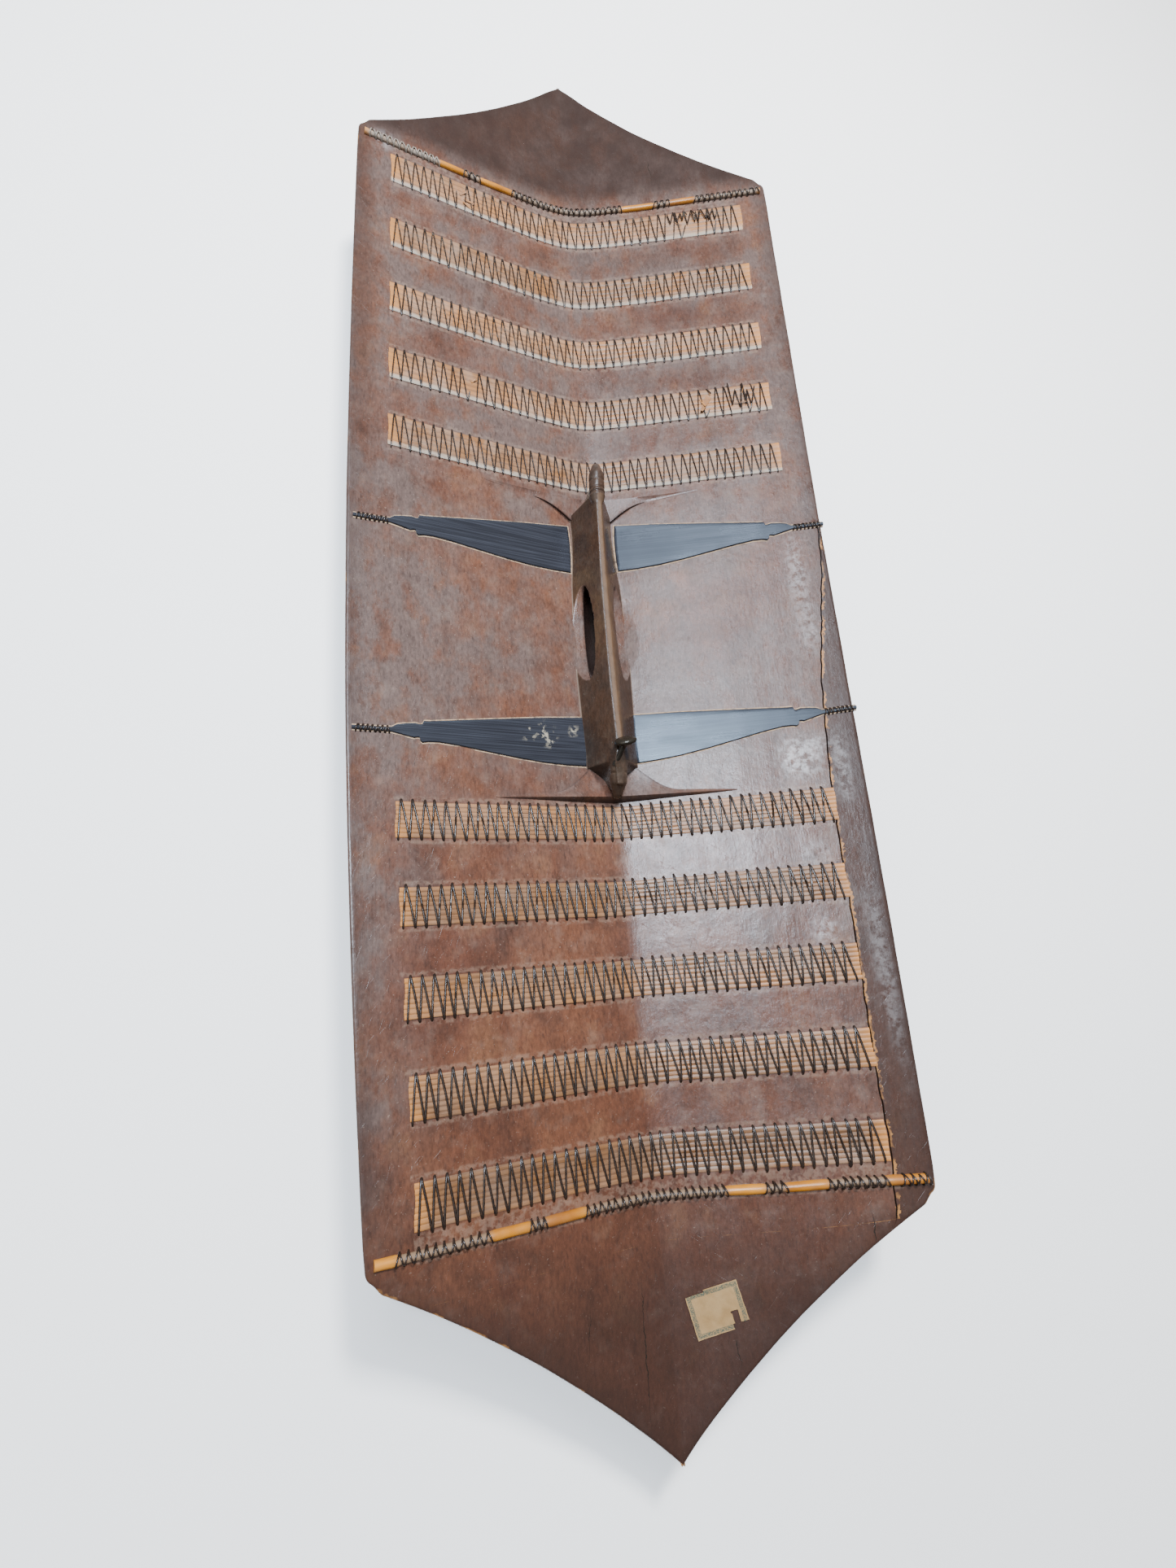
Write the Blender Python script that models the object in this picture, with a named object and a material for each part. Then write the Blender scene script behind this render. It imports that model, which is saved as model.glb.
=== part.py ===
# A carved wooden shield with a shallow V section. It lies on its outer keel, handle side up.
# The board and its handle are one plank. Ten rattan bands are sewn to the inner side, four
# hardwood blades lie beside the handle, and a cane is lashed across each end.
# X runs across the shield, Y along it and Z up. The origin is under the middle of the board.

import math

import bmesh
import bpy

# Board outline. The side edges bow out a little.
LENGTH = 1.300
MIDDLE_WIDTH = 0.438
UPPER_SHOULDER_WIDTH = 0.421
LOWER_SHOULDER_WIDTH = 0.409
UPPER_SHOULDER = 0.4925
LOWER_SHOULDER = 0.4990
SHOULDER_RADIUS = 0.009
END_HOLLOW = 0.0105
OUTLINE_STEPS = 6

# Board section. Each half rises from the valley, and the ends rise from the floor.
VALLEY_THICKNESS = 0.018
EDGE_THICKNESS = 0.008
VALLEY_SLOPE = 0.278
END_RISE = 0.0315
KEEL_FLAT_WIDTH = 0.040
ROWS = 12
ROW_SPACING = 0.1117
SLAB_MARGIN = 0.030

# Play between pieces that touch, and how far a cutter stands proud of what it cuts
GAP = 0.0003
CUTTER_PROUD = 0.004

# Rattan bands, each a mat of flat splints in a shallow recess
BAND_COUNT = 5
BAND_THICKNESS = 0.0020
BAND_RECESS = 0.0014
SPLINT_COUNT = 5
SPLINT_GROOVE = 0.0004
UPPER_BAND_START = 0.1590
UPPER_BAND_PITCH = 0.0713
UPPER_BAND_PITCH_GAIN = 0.0012
UPPER_BAND_WIDTH = 0.0315
UPPER_BAND_HALF_LENGTH = 0.1880
UPPER_BAND_TAPER = -0.0015
LOWER_BAND_START = -0.1946
LOWER_BAND_PITCH = 0.0662
LOWER_BAND_WIDTH = 0.0287
LOWER_BAND_HALF_LENGTH = 0.1852
LOWER_BAND_TAPER = -0.0026

# Lacing over each band, a zigzag cord
CORD_WIDTH = 0.0018
CORD_HEIGHT = 0.0014
CORD_OVERHANG = 0.0026
STITCH_PITCH = 0.0086
STITCH_LEAN = 0.35

# Canes and their lashings
CANE_RADIUS = 0.0042
CANE_INSET = 0.0122
CANE_END_MARGIN = 0.004
CANE_SIDES = 6
LASHING_CORD = 0.0016
LASHING_PITCH = 0.0054

# Blades of hardwood
BLADE_THICKNESS = 0.0022
BLADE_LENGTH = 0.140
BLADE_INNER_END = 0.0245
BLADE_STEP = 0.0020
UPPER_BLADE_HEIGHT = 0.0500
LOWER_BLADE_HEIGHT = 0.0465
UPPER_LEFT_BLADE = 0.0756
UPPER_RIGHT_BLADE = 0.0788
LOWER_LEFT_BLADE = -0.1198
LOWER_RIGHT_BLADE = -0.1179
TAIL_WIDTH = 0.0040
TAIL_START = 0.1625
TAIL_MARGIN = 0.0030
TAIL_END = MIDDLE_WIDTH / 2 - BLADE_INNER_END - TAIL_MARGIN
BINDING_TURNS = 6
BINDING_MARGIN = 0.0025

# Handle, carved from the plank. Its two wings mark the ends of the grip's body.
HANDLE_UPPER_WING = 0.1115
HANDLE_LOWER_WING = -0.1455
HANDLE_HALF_WIDTH = 0.0240
HANDLE_HEIGHT = 0.040
HANDLE_ROOT = 0.003
SPINE_WIDTH = 0.0030
FINGER_HOLLOW_WIDTH = 0.072
FINGER_HOLLOW_LENGTH = 0.118
FINGER_HOLLOW_HEIGHT = 0.0265
FINGER_HOLLOW_BED = 0.004
FINGER_HOLLOW_Y = -0.013
UPPER_BEAK_LENGTH = 0.028
LOWER_BEAK_LENGTH = 0.030
UPPER_BEAK_TOP = 0.0510
LOWER_BEAK_TOP = 0.0430
UPPER_BEAK_CLIMB = 0.15
LOWER_BEAK_CLIMB = -0.12
BEAK_ROOT = 0.010
BEAK_RADIUS = 0.0080
BEAK_TIP_RADIUS = 0.0042
CREST_HALF_LENGTH = 0.103
CREST_HEIGHT = 0.0085
CREST_FACE = 0.0038
CREST_EDGE = 0.0006
CREST_ROOT = 0.002
CREST_STEPS = 8
CREST_WEB = 0.0215
UPPER_CREST = 0.1305
LOWER_CREST = -0.1730

# Peg with a round knob. It leans back over the handle from the root of the lower beak.
KNOB_RADIUS = 0.0088
KNOB_THICKNESS = 0.0055
PEG_RADIUS = 0.0020
PEG_LENGTH = 0.020
PEG_LEAN = math.radians(45)
PEG_Y = -0.1490
PEG_FOOT = 0.0360
PEG_SOCKET_DEPTH = 0.006

# Crack along the right side, between the edge strip and the rest
CRACK_START = 0.080
CRACK_WIDTH = 0.0014
CRACK_DEPTH = 0.0030
CRACK_STEPS = 9
CRACK_CLEARANCE = 0.0032
CRACK_PAST_SHOULDER = 0.010

# Paper patch near the lower end
PATCH_LENGTH = 0.0365
PATCH_WIDTH = 0.0270
PATCH_THICKNESS = 0.0004
PATCH_X = 0.0357
PATCH_Y = -0.5625
PATCH_TURN = math.radians(12.5)

WOOD = ((0.16, 0.075, 0.05), 0.42)
RATTAN = ((0.50, 0.30, 0.14), 0.45)
CORD = ((0.05, 0.03, 0.02), 0.35)
CANE = ((0.62, 0.33, 0.10), 0.30)
EBONY = ((0.045, 0.042, 0.050), 0.28)
PAPER = ((0.55, 0.43, 0.27), 0.80)


def make_collection(name):
    collection = bpy.data.collections.new(name)
    bpy.context.scene.collection.children.link(collection)
    return collection


def make_material(name, look):
    colour, roughness = look
    material = bpy.data.materials.new(name)
    material.use_nodes = True
    shader = material.node_tree.nodes["Principled BSDF"]
    shader.inputs["Base Color"].default_value = (*colour, 1.0)
    shader.inputs["Roughness"].default_value = roughness
    shader.inputs["Metallic"].default_value = 0.0
    return material


def add_object(name, mesh, collection, look=None):
    piece = bpy.data.objects.new(name, mesh)
    collection.objects.link(piece)
    if look:
        mesh.materials.clear()
        mesh.materials.append(make_material(name, look))
    return piece


def mesh_from_bmesh(name, shape):
    bmesh.ops.recalc_face_normals(shape, faces=shape.faces)
    if shape.calc_volume(signed=True) < 0:
        bmesh.ops.reverse_faces(shape, faces=shape.faces)
    mesh = bpy.data.meshes.new(name)
    shape.to_mesh(mesh)
    shape.free()
    return mesh


# The board's form

def half_width(y):
    if y > 0:
        shoulder, width = UPPER_SHOULDER, UPPER_SHOULDER_WIDTH
    else:
        shoulder, width = LOWER_SHOULDER, LOWER_SHOULDER_WIDTH
    return (MIDDLE_WIDTH - (MIDDLE_WIDTH - width) * (y / shoulder) ** 2) / 2


def rise(y):
    # How far the board has risen at a place along it, straight from row to row
    row = min(ROWS // 2 - 1, math.floor(abs(y) / ROW_SPACING))
    share = abs(y) / ROW_SPACING - row
    low = END_RISE * (row * ROW_SPACING / (LENGTH / 2)) ** 2
    high = END_RISE * ((row + 1) * ROW_SPACING / (LENGTH / 2)) ** 2
    return low + (high - low) * share


def inner_height(x, y):
    return VALLEY_THICKNESS + VALLEY_SLOPE * abs(x) + rise(y)


def outer_height(x, y):
    # The keel is planed flat below the middle rows, so that the shield lies still
    flat = KEEL_FLAT_WIDTH / 2
    edge = MIDDLE_WIDTH / 2
    edge_height = VALLEY_THICKNESS + VALLEY_SLOPE * edge - EDGE_THICKNESS
    side = max(0.0, abs(x) - flat) * edge_height / (edge - flat)
    return side + max(0.0, rise(y) - rise(ROW_SPACING))


def end_edge(across, shoulder, half):
    # The end edge runs from the shoulder to the tip in a shallow hollow curve
    share = across / half
    straight = LENGTH / 2 + (shoulder - LENGTH / 2) * share
    return straight - 4 * END_HOLLOW * share * (1 - share)


def shoulder_points(shoulder, half):
    # One quarter of the outline, from the long side round the shoulder to the tip
    radius = SHOULDER_RADIUS
    points = []
    for step in range(4):
        angle = math.radians(60) * step / 3
        across = half - radius + radius * math.cos(angle)
        points.append((across, shoulder - radius + radius * math.sin(angle)))
    start = half - radius
    for step in range(1, OUTLINE_STEPS + 1):
        across = start * (1 - step / OUTLINE_STEPS)
        points.append((across, end_edge(across, shoulder, half)))
    return points


def board_outline():
    side_rows = [-0.66, -0.33, 0.0, 0.33, 0.66]
    upper = shoulder_points(UPPER_SHOULDER, UPPER_SHOULDER_WIDTH / 2)
    lower = shoulder_points(LOWER_SHOULDER, LOWER_SHOULDER_WIDTH / 2)
    right = [(across, -along) for across, along in reversed(lower)]
    for row in side_rows:
        along = row * (UPPER_SHOULDER + LOWER_SHOULDER) / 2
        right.append((half_width(along), along))
    right += upper
    left = [(-across, along) for across, along in reversed(right[1:-1])]
    return right + left


def outline_object(name, outline, thickness, collection):
    # A flat outline as a filled 2D curve, turned into a closed mesh
    curve = bpy.data.curves.new(name, "CURVE")
    curve.dimensions = "2D"
    curve.fill_mode = "BOTH"
    curve.extrude = thickness / 2
    spline = curve.splines.new("POLY")
    spline.points.add(len(outline) - 1)
    for point, (x, y) in zip(spline.points, outline):
        point.co = (x, y, 0.0, 1.0)
    spline.use_cyclic_u = True
    guide = bpy.data.objects.new(name, curve)
    collection.objects.link(guide)
    graph = bpy.context.evaluated_depsgraph_get()
    mesh = bpy.data.meshes.new_from_object(guide.evaluated_get(graph))
    bpy.data.objects.remove(guide)
    shape = bmesh.new()
    shape.from_mesh(mesh)
    bpy.data.meshes.remove(mesh)
    bmesh.ops.remove_doubles(shape, verts=shape.verts, dist=0.00001)
    bmesh.ops.translate(shape, verts=shape.verts, vec=(0, 0, thickness / 2))
    return add_object(name, mesh_from_bmesh(name, shape), collection)


def drape(mesh, lift):
    # Lays a flat mesh on the sloping inner side, raised by lift
    for vertex in mesh.vertices:
        vertex.co.z += inner_height(vertex.co.x, vertex.co.y) + lift


def cut(target, tool, operation="DIFFERENCE"):
    tool.hide_render = True
    tool.display_type = "WIRE"
    modifier = target.modifiers.new(tool.name, "BOOLEAN")
    modifier.operation = operation
    modifier.solver = "EXACT"
    modifier.object = tool


# Bands

def bands():
    # Yields each band's name, middle, width and half length
    along = UPPER_BAND_START
    for index in range(BAND_COUNT):
        half = UPPER_BAND_HALF_LENGTH + UPPER_BAND_TAPER * index
        yield f"upper_band_{index + 1}", along, UPPER_BAND_WIDTH, half
        along += UPPER_BAND_PITCH + UPPER_BAND_PITCH_GAIN * index
    along = LOWER_BAND_START
    for index in range(BAND_COUNT):
        half = LOWER_BAND_HALF_LENGTH + LOWER_BAND_TAPER * index
        yield f"lower_band_{index + 1}", along, LOWER_BAND_WIDTH, half
        along -= LOWER_BAND_PITCH


def folded_strip(name, middle, width, half, rows, height, profile):
    # A strip across the shield with columns at its ends and at the valley
    shape = bmesh.new()
    bmesh.ops.create_grid(shape, x_segments=2, y_segments=rows, size=1.0)
    top = list(shape.faces)
    for vertex in shape.verts:
        share = (vertex.co.y + 1) / 2
        vertex.co.y = middle + width * (share - 0.5)
        vertex.co.x *= half
        vertex.co.z = height - profile(round(share * rows))
    result = bmesh.ops.extrude_face_region(shape, geom=top, use_keep_orig=True)
    for item in result["geom"]:
        if isinstance(item, bmesh.types.BMVert):
            item.co.z = 0.0
    # The floor and the two ends are flat, so their inner edges go
    inside = {vertex for vertex in shape.verts
              if vertex.co.z == 0.0 and abs(vertex.co.y - middle) < width / 2 - 0.00001}
    spare = []
    for edge in shape.edges:
        first, second = edge.verts
        if (first in inside or second in inside) and abs(first.co.y - second.co.y) < 0.00001:
            spare.append(edge)
    bmesh.ops.dissolve_edges(shape, edges=spare, use_verts=True)
    return mesh_from_bmesh(name, shape)


def splint_profile(row):
    return SPLINT_GROOVE if row % 2 == 0 else 0.0


def make_band(name, middle, width, half, collection):
    rows = SPLINT_COUNT * 2
    clear = width - 2 * GAP
    mesh = folded_strip(name, middle, clear, half - GAP, rows, BAND_THICKNESS, splint_profile)
    drape(mesh, GAP - BAND_RECESS)
    return add_object(name + "_rattan", mesh, collection, RATTAN)


def make_recess(name, middle, width, half, collection):
    # The cutter is as deep as the recess and stands proud of the board
    depth = BAND_RECESS + CUTTER_PROUD
    mesh = folded_strip(name, middle, width, half, 1, depth, lambda row: 0.0)
    drape(mesh, -BAND_RECESS)
    return add_object(name + "_recess", mesh, collection)


def zigzag_rings(middle, reach, start, end):
    # Triangular rings along a zigzag cord, one at each turn. The outer corner of a turn lies
    # at full reach, the inner one where the two strokes part.
    count = round((end - start) / STITCH_PITCH)
    pitch = (end - start) / count
    lean = STITCH_LEAN * pitch
    notch = reach * CORD_WIDTH / lean * 0.55
    rings = []
    for index in range(2 * count + 1):
        side = 1 if index % 2 else -1
        x = start + index // 2 * pitch + (lean if index % 2 else 0.0)
        outer = (x, middle + side * reach, 0.0)
        inner = (x, middle + side * (reach - notch), 0.0)
        ridge = (x, middle + side * (reach - CORD_WIDTH / 2), CORD_HEIGHT)
        if index in (0, 2 * count):
            half = -CORD_WIDTH / 2 if index == 0 else CORD_WIDTH / 2
            outer = (x - half, middle + side * reach, 0.0)
            inner = (x + half, middle + side * reach, 0.0)
        rings.append((outer, ridge, inner) if side > 0 else (inner, ridge, outer))
    return rings


def make_lacing(name, middle, width, half, collection):
    reach = width / 2 + CORD_OVERHANG
    end = half - STITCH_PITCH / 2
    mesh = loft(name, zigzag_rings(middle, reach, -end, end))
    drape(mesh, BAND_THICKNESS - BAND_RECESS + 2 * GAP)
    return add_object(name + "_lacing", mesh, collection, CORD)


# End canes

def cane_section(sides, radius):
    # Half round, from one foot over the crown to the other
    points = []
    for index in range(sides + 1):
        angle = math.pi * index / sides
        points.append((-radius * math.cos(angle), radius * math.sin(angle)))
    return points


def loft(name, rings):
    # Joins rings of equal length into one closed body with flat ends
    shape = bmesh.new()
    verts = [[shape.verts.new(point) for point in ring] for ring in rings]
    size = len(rings[0])
    for first, second in zip(verts, verts[1:]):
        for index in range(size):
            after = (index + 1) % size
            shape.faces.new((first[index], first[after], second[after], second[index]))
    shape.faces.new(verts[0][::-1])
    shape.faces.new(verts[-1])
    return mesh_from_bmesh(name, shape)


def cane_half_length(along):
    return half_width(along) - CANE_END_MARGIN


def make_cane(name, along, collection):
    half = cane_half_length(along)
    rings = []
    for x in (-half, 0.0, half):
        rings.append([(x, along + y, z) for y, z in cane_section(CANE_SIDES, CANE_RADIUS)])
    mesh = loft(name, rings)
    drape(mesh, GAP)
    return add_object(name, mesh, collection, CANE)


def lashing_groups(along):
    # Each end cane is lashed in five groups: a long one over the valley, two short ones
    # beside it and one at each end. Places are shares of the half width.
    half = cane_half_length(along)
    for start, end in ((-0.93, -0.62), (-0.50, -0.42), (-0.29, 0.27), (0.42, 0.50), (0.62, 0.93)):
        yield start * half, end * half


def ridged_sleeve(name, path, kinks, turns, bore, cord):
    # A sleeve of cord over a bar that lies on the board. The path runs from 0 to 1 and may
    # have kinks, and the bore is the inner foot, crown half width and crown height.
    foot, crown, top = bore
    shape = bmesh.new()

    def row(place, points):
        x, y = path(place)
        return [shape.verts.new((x, y + across, up)) for across, up in points]

    places = [index / (2 * turns) for index in range(2 * turns + 1)]
    for kink in kinks:
        nearest = min(range(1, 2 * turns), key=lambda index: abs(places[index] - kink))
        places[nearest] = kink
    ends = [0.0] + list(kinks) + [1.0]
    crowns = []
    for index, place in enumerate(places):
        swell = cord if index % 2 else 0.35 * cord
        wide = crown + 0.5 * swell
        crowns.append(row(place, ((-wide, top + swell), (wide, top + swell))))
    feet = [row(place, ((-foot - cord, 0.0), (foot + cord, 0.0))) for place in ends]
    bores = [row(place, ((-foot, 0.0), (-crown, top), (crown, top), (foot, 0.0)))
             for place in ends]
    for first, second in zip(crowns, crowns[1:]):
        shape.faces.new((first[0], first[1], second[1], second[0]))
    for step, (begin, finish) in enumerate(zip(ends, ends[1:])):
        first, last = places.index(begin), places.index(finish)
        middle = (first + last) // 2
        for side in (0, 1):
            near, far = feet[step][side], feet[step + 1][side]
            for index in range(first, last):
                corner = near if index < middle else far
                shape.faces.new((corner, crowns[index][side], crowns[index + 1][side]))
            shape.faces.new((near, far, crowns[middle][side]))
            edge = 3 * side
            shape.faces.new((near, far, bores[step + 1][edge], bores[step][edge]))
        for index in range(3):
            shape.faces.new((bores[step][index], bores[step][index + 1],
                             bores[step + 1][index + 1], bores[step + 1][index]))
    for end in (0, -1):
        outer = [feet[end][0], crowns[end][0], crowns[end][1], feet[end][1]]
        shape.faces.new(outer + bores[end][::-1])
    mesh = mesh_from_bmesh(name, shape)
    drape(mesh, GAP)
    return mesh


def make_lashing(name, along, start, end, collection):
    inner = CANE_RADIUS + 2 * GAP
    valley = -start / (end - start)
    kinks = [valley] if 0.1 < valley < 0.9 else []
    turns = max(3, round((end - start) / LASHING_PITCH))

    def path(place):
        return start + (end - start) * place, along

    bore = (inner, inner / 2, inner)
    mesh = ridged_sleeve(name, path, kinks, turns, bore, LASHING_CORD)
    return add_object(name, mesh, collection, CORD)


# Blades

def blade_outline(side, middle, tilt, height):
    # Half heights as shares of the inner end's, along the blade from the handle outwards
    half = height / 2
    tail = TAIL_WIDTH / 2
    step = BLADE_LENGTH + BLADE_STEP
    neck = TAIL_START - step
    upper = [(0.0, half), (BLADE_LENGTH, 0.38 * half), (step, 0.32 * half),
             (step + 0.8 * neck, 0.26 * half), (TAIL_START, tail), (TAIL_END, tail)]
    lower = [(0.0, -half), (0.25 * BLADE_LENGTH, -0.95 * half), (0.50 * BLADE_LENGTH, -0.77 * half),
             (0.70 * BLADE_LENGTH, -0.56 * half), (0.90 * BLADE_LENGTH, -0.39 * half),
             (BLADE_LENGTH, -0.41 * half), (step, -0.24 * half),
             (step + 0.5 * neck, -0.18 * half), (TAIL_START, -tail), (TAIL_END, -tail)]
    points = []
    for out, up in upper + lower[::-1]:
        points.append((side * (BLADE_INNER_END + out), middle + up + tilt * out))
    return points


def make_blade(name, side, middle, tilt, height, collection):
    outline = blade_outline(side, middle, tilt, height)
    piece = outline_object(name, outline, BLADE_THICKNESS, collection)
    drape(piece.data, GAP)
    piece.data.materials.append(make_material(name, EBONY))
    return piece


def make_binding(name, side, middle, tilt, collection):
    begin = TAIL_START + BINDING_MARGIN
    length = TAIL_END - BINDING_MARGIN - begin
    inner = TAIL_WIDTH / 2 + GAP

    def path(place):
        out = begin + length * place
        return side * (BLADE_INNER_END + out), middle + tilt * out

    bore = (inner, inner, BLADE_THICKNESS + GAP)
    mesh = ridged_sleeve(name, path, [], BINDING_TURNS, bore, LASHING_CORD)
    return add_object(name, mesh, collection, CORD)


# Handle

def handle_stations():
    # Place along the handle, and shares of its half width and height. Between the wings the
    # place is a share of the body, and beyond them a share of the distance to the crest.
    body = HANDLE_UPPER_WING - HANDLE_LOWER_WING
    above = UPPER_CREST - HANDLE_UPPER_WING
    below = HANDLE_LOWER_WING - LOWER_CREST
    stations = []
    for share, wide, tall in ((0.95, 0.16, 1.10), (0.50, 0.26, 1.14), (0.18, 0.52, 1.16)):
        stations.append((HANDLE_UPPER_WING + share * above, wide, tall))
    for share, wide, tall in ((0.0, 0.90, 1.20), (0.12, 0.82, 1.14), (0.25, 0.88, 1.02),
                              (0.46, 0.90, 0.95), (0.63, 1.06, 0.94), (0.80, 0.88, 0.96),
                              (0.92, 0.85, 1.02), (1.0, 1.0, 1.04)):
        stations.append((HANDLE_UPPER_WING - share * body, wide, tall))
    for share, wide, tall in ((0.18, 0.50, 1.00), (0.50, 0.28, 0.95), (0.95, 0.18, 0.86)):
        stations.append((HANDLE_LOWER_WING - share * below, wide, tall))
    return stations


def make_handle_body(collection):
    rings = []
    for along, wide, tall in handle_stations():
        half = wide * HANDLE_HALF_WIDTH
        foot = inner_height(half, along) - HANDLE_ROOT
        ridge = VALLEY_THICKNESS + tall * HANDLE_HEIGHT
        spine = SPINE_WIDTH / 2
        waist = 0.46 * half + spine
        middle = foot + 0.60 * (ridge - foot)
        section = ((-half, foot), (-waist, middle), (-spine, ridge), (spine, ridge),
                   (waist, middle), (half, foot), (0.0, VALLEY_THICKNESS - HANDLE_ROOT))
        rings.append([(x, along, z) for x, z in section])
    return add_object("handle_body", loft("handle_body", rings), collection)


def make_finger_hollow(collection):
    shape = bmesh.new()
    bmesh.ops.create_uvsphere(shape, u_segments=12, v_segments=8, radius=0.5)
    size = (FINGER_HOLLOW_WIDTH, FINGER_HOLLOW_LENGTH, FINGER_HOLLOW_HEIGHT)
    bmesh.ops.scale(shape, verts=shape.verts, vec=size)
    middle = VALLEY_THICKNESS - FINGER_HOLLOW_BED + FINGER_HOLLOW_HEIGHT / 2
    bmesh.ops.translate(shape, verts=shape.verts, vec=(0.0, FINGER_HOLLOW_Y, middle))
    return add_object("finger_hollow", mesh_from_bmesh("finger_hollow", shape), collection)


def turned(name, profile, sides):
    # Spins a profile of places and radii about Z into a closed body
    shape = bmesh.new()
    verts = [shape.verts.new((radius, 0.0, place)) for place, radius in reversed(profile)]
    for first, second in zip(verts, verts[1:]):
        shape.edges.new((first, second))
    bmesh.ops.spin(shape, geom=list(shape.verts) + list(shape.edges), angle=math.tau,
                   steps=sides, axis=(0, 0, 1), cent=(0, 0, 0), use_duplicate=False)
    bmesh.ops.remove_doubles(shape, verts=shape.verts, dist=0.00001)
    bmesh.ops.holes_fill(shape, edges=shape.edges, sides=sides)
    return mesh_from_bmesh(name, shape)


def make_beak(name, wing, direction, reach, height, climb, collection):
    # A turned beak with ring grooves at its root and halfway. It lies along Y.
    root, tip = BEAK_RADIUS, BEAK_TIP_RADIUS
    profile = [(-BEAK_ROOT, 0.6 * root), (-0.002, root), (0.0, 0.88 * root), (0.002, root),
               (0.40 * reach, 0.90 * root), (0.46 * reach, 0.76 * root),
               (0.52 * reach, 0.86 * root), (0.88 * reach, 1.1 * tip), (reach, 0.6 * tip)]
    mesh = turned(name, profile, 8)
    for vertex in mesh.vertices:
        x, y, along = vertex.co
        vertex.co = (x, wing + direction * along, height - root + climb * along - y)
    shape = bmesh.new()
    shape.from_mesh(mesh)
    bpy.data.meshes.remove(mesh)
    return add_object(name, mesh_from_bmesh(name, shape), collection)


def make_crest(name, along, direction, collection):
    # A low ridge across the valley. Its steep face looks away from the handle.
    rings = []
    for index in range(CREST_STEPS + 1):
        share = 2 * index / CREST_STEPS - 1
        x = share * CREST_HALF_LENGTH
        fade = 1 - abs(share)
        height = CREST_EDGE + CREST_HEIGHT * fade ** 1.2
        face = CREST_EDGE + CREST_FACE * fade ** 0.8
        web = CREST_EDGE + CREST_WEB * max(0.0, 1 - max(0.0, abs(share) - 0.2) / 0.33) ** 1.5
        ring = []
        for y, lift in ((along - direction * web, -CREST_ROOT), (along, height),
                        (along + direction * face, -CREST_ROOT), (along, -2 * CREST_ROOT)):
            ring.append((x, y, inner_height(x, y) + lift))
        rings.append(ring)
    return add_object(name, loft(name, rings), collection)


def set_peg(piece):
    # Turns a piece modelled along Z to the peg's lean and moves it to the peg's foot
    piece.rotation_euler = (-PEG_LEAN, 0.0, 0.0)
    piece.location = (0.0, PEG_Y, VALLEY_THICKNESS + PEG_FOOT)
    return piece


def make_peg_socket(collection):
    top = PEG_SOCKET_DEPTH + PEG_LENGTH - KNOB_THICKNESS
    radius = PEG_RADIUS + GAP
    mesh = turned("peg_socket", [(-GAP, radius), (top, radius)], 8)
    return set_peg(add_object("peg_socket", mesh, collection))


def make_peg(collection):
    # Turned about its own axis: stem, neck and a round knob
    top = PEG_SOCKET_DEPTH + PEG_LENGTH
    knob = top - KNOB_THICKNESS
    profile = [(0.0, PEG_RADIUS), (knob - 0.002, PEG_RADIUS), (knob, PEG_RADIUS * 1.7),
               (knob + 0.25 * KNOB_THICKNESS, KNOB_RADIUS * 0.93),
               (knob + 0.5 * KNOB_THICKNESS, KNOB_RADIUS),
               (knob + 0.8 * KNOB_THICKNESS, KNOB_RADIUS * 0.8),
               (top, KNOB_RADIUS * 0.3)]
    return set_peg(add_object("handle_peg", turned("handle_peg", profile, 8), collection, EBONY))


# Crack and patch

def crack_x(along):
    # The crack leaves the edge near the upper blade and runs just outside the lower bands
    outside = LOWER_BAND_HALF_LENGTH + CRACK_CLEARANCE
    drift = LOWER_BAND_TAPER * (LOWER_BAND_START - along) / LOWER_BAND_PITCH
    if along < LOWER_BAND_START:
        return outside + drift
    share = (along - LOWER_BAND_START) / (CRACK_START - LOWER_BAND_START)
    return outside + (half_width(CRACK_START) - outside) * share ** 1.6


def make_crack(collection):
    end = -LOWER_SHOULDER - CRACK_PAST_SHOULDER
    rings = []
    for index in range(CRACK_STEPS + 1):
        along = CRACK_START + (end - CRACK_START) * index / CRACK_STEPS
        x = crack_x(along)
        half = CRACK_WIDTH / 2 * (0.5 if index == CRACK_STEPS else 1.0)
        surface = inner_height(x, along)
        top = surface + CUTTER_PROUD
        rings.append([(x - half * 2, along, top), (x + half * 2, along, top),
                      (x, along, surface - CRACK_DEPTH)])
    return add_object("crack", loft("crack", rings), collection)


def make_patch(collection):
    long, wide = PATCH_LENGTH / 2, PATCH_WIDTH / 2
    corners = ((-long, -wide), (0.42 * long, -wide), (0.46 * long, -0.45 * wide),
               (0.68 * long, -0.40 * wide), (0.72 * long, -0.95 * wide), (long, -wide),
               (long, wide), (-0.3 * long, wide), (-0.36 * long, 0.86 * wide), (-long, wide))
    outline = []
    for x, y in corners:
        outline.append((PATCH_X + x * math.cos(PATCH_TURN) - y * math.sin(PATCH_TURN),
                        PATCH_Y + x * math.sin(PATCH_TURN) + y * math.cos(PATCH_TURN)))
    piece = outline_object("paper_patch", outline, PATCH_THICKNESS, collection)
    drape(piece.data, GAP)
    piece.data.materials.append(make_material("paper_patch", PAPER))
    return piece


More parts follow.
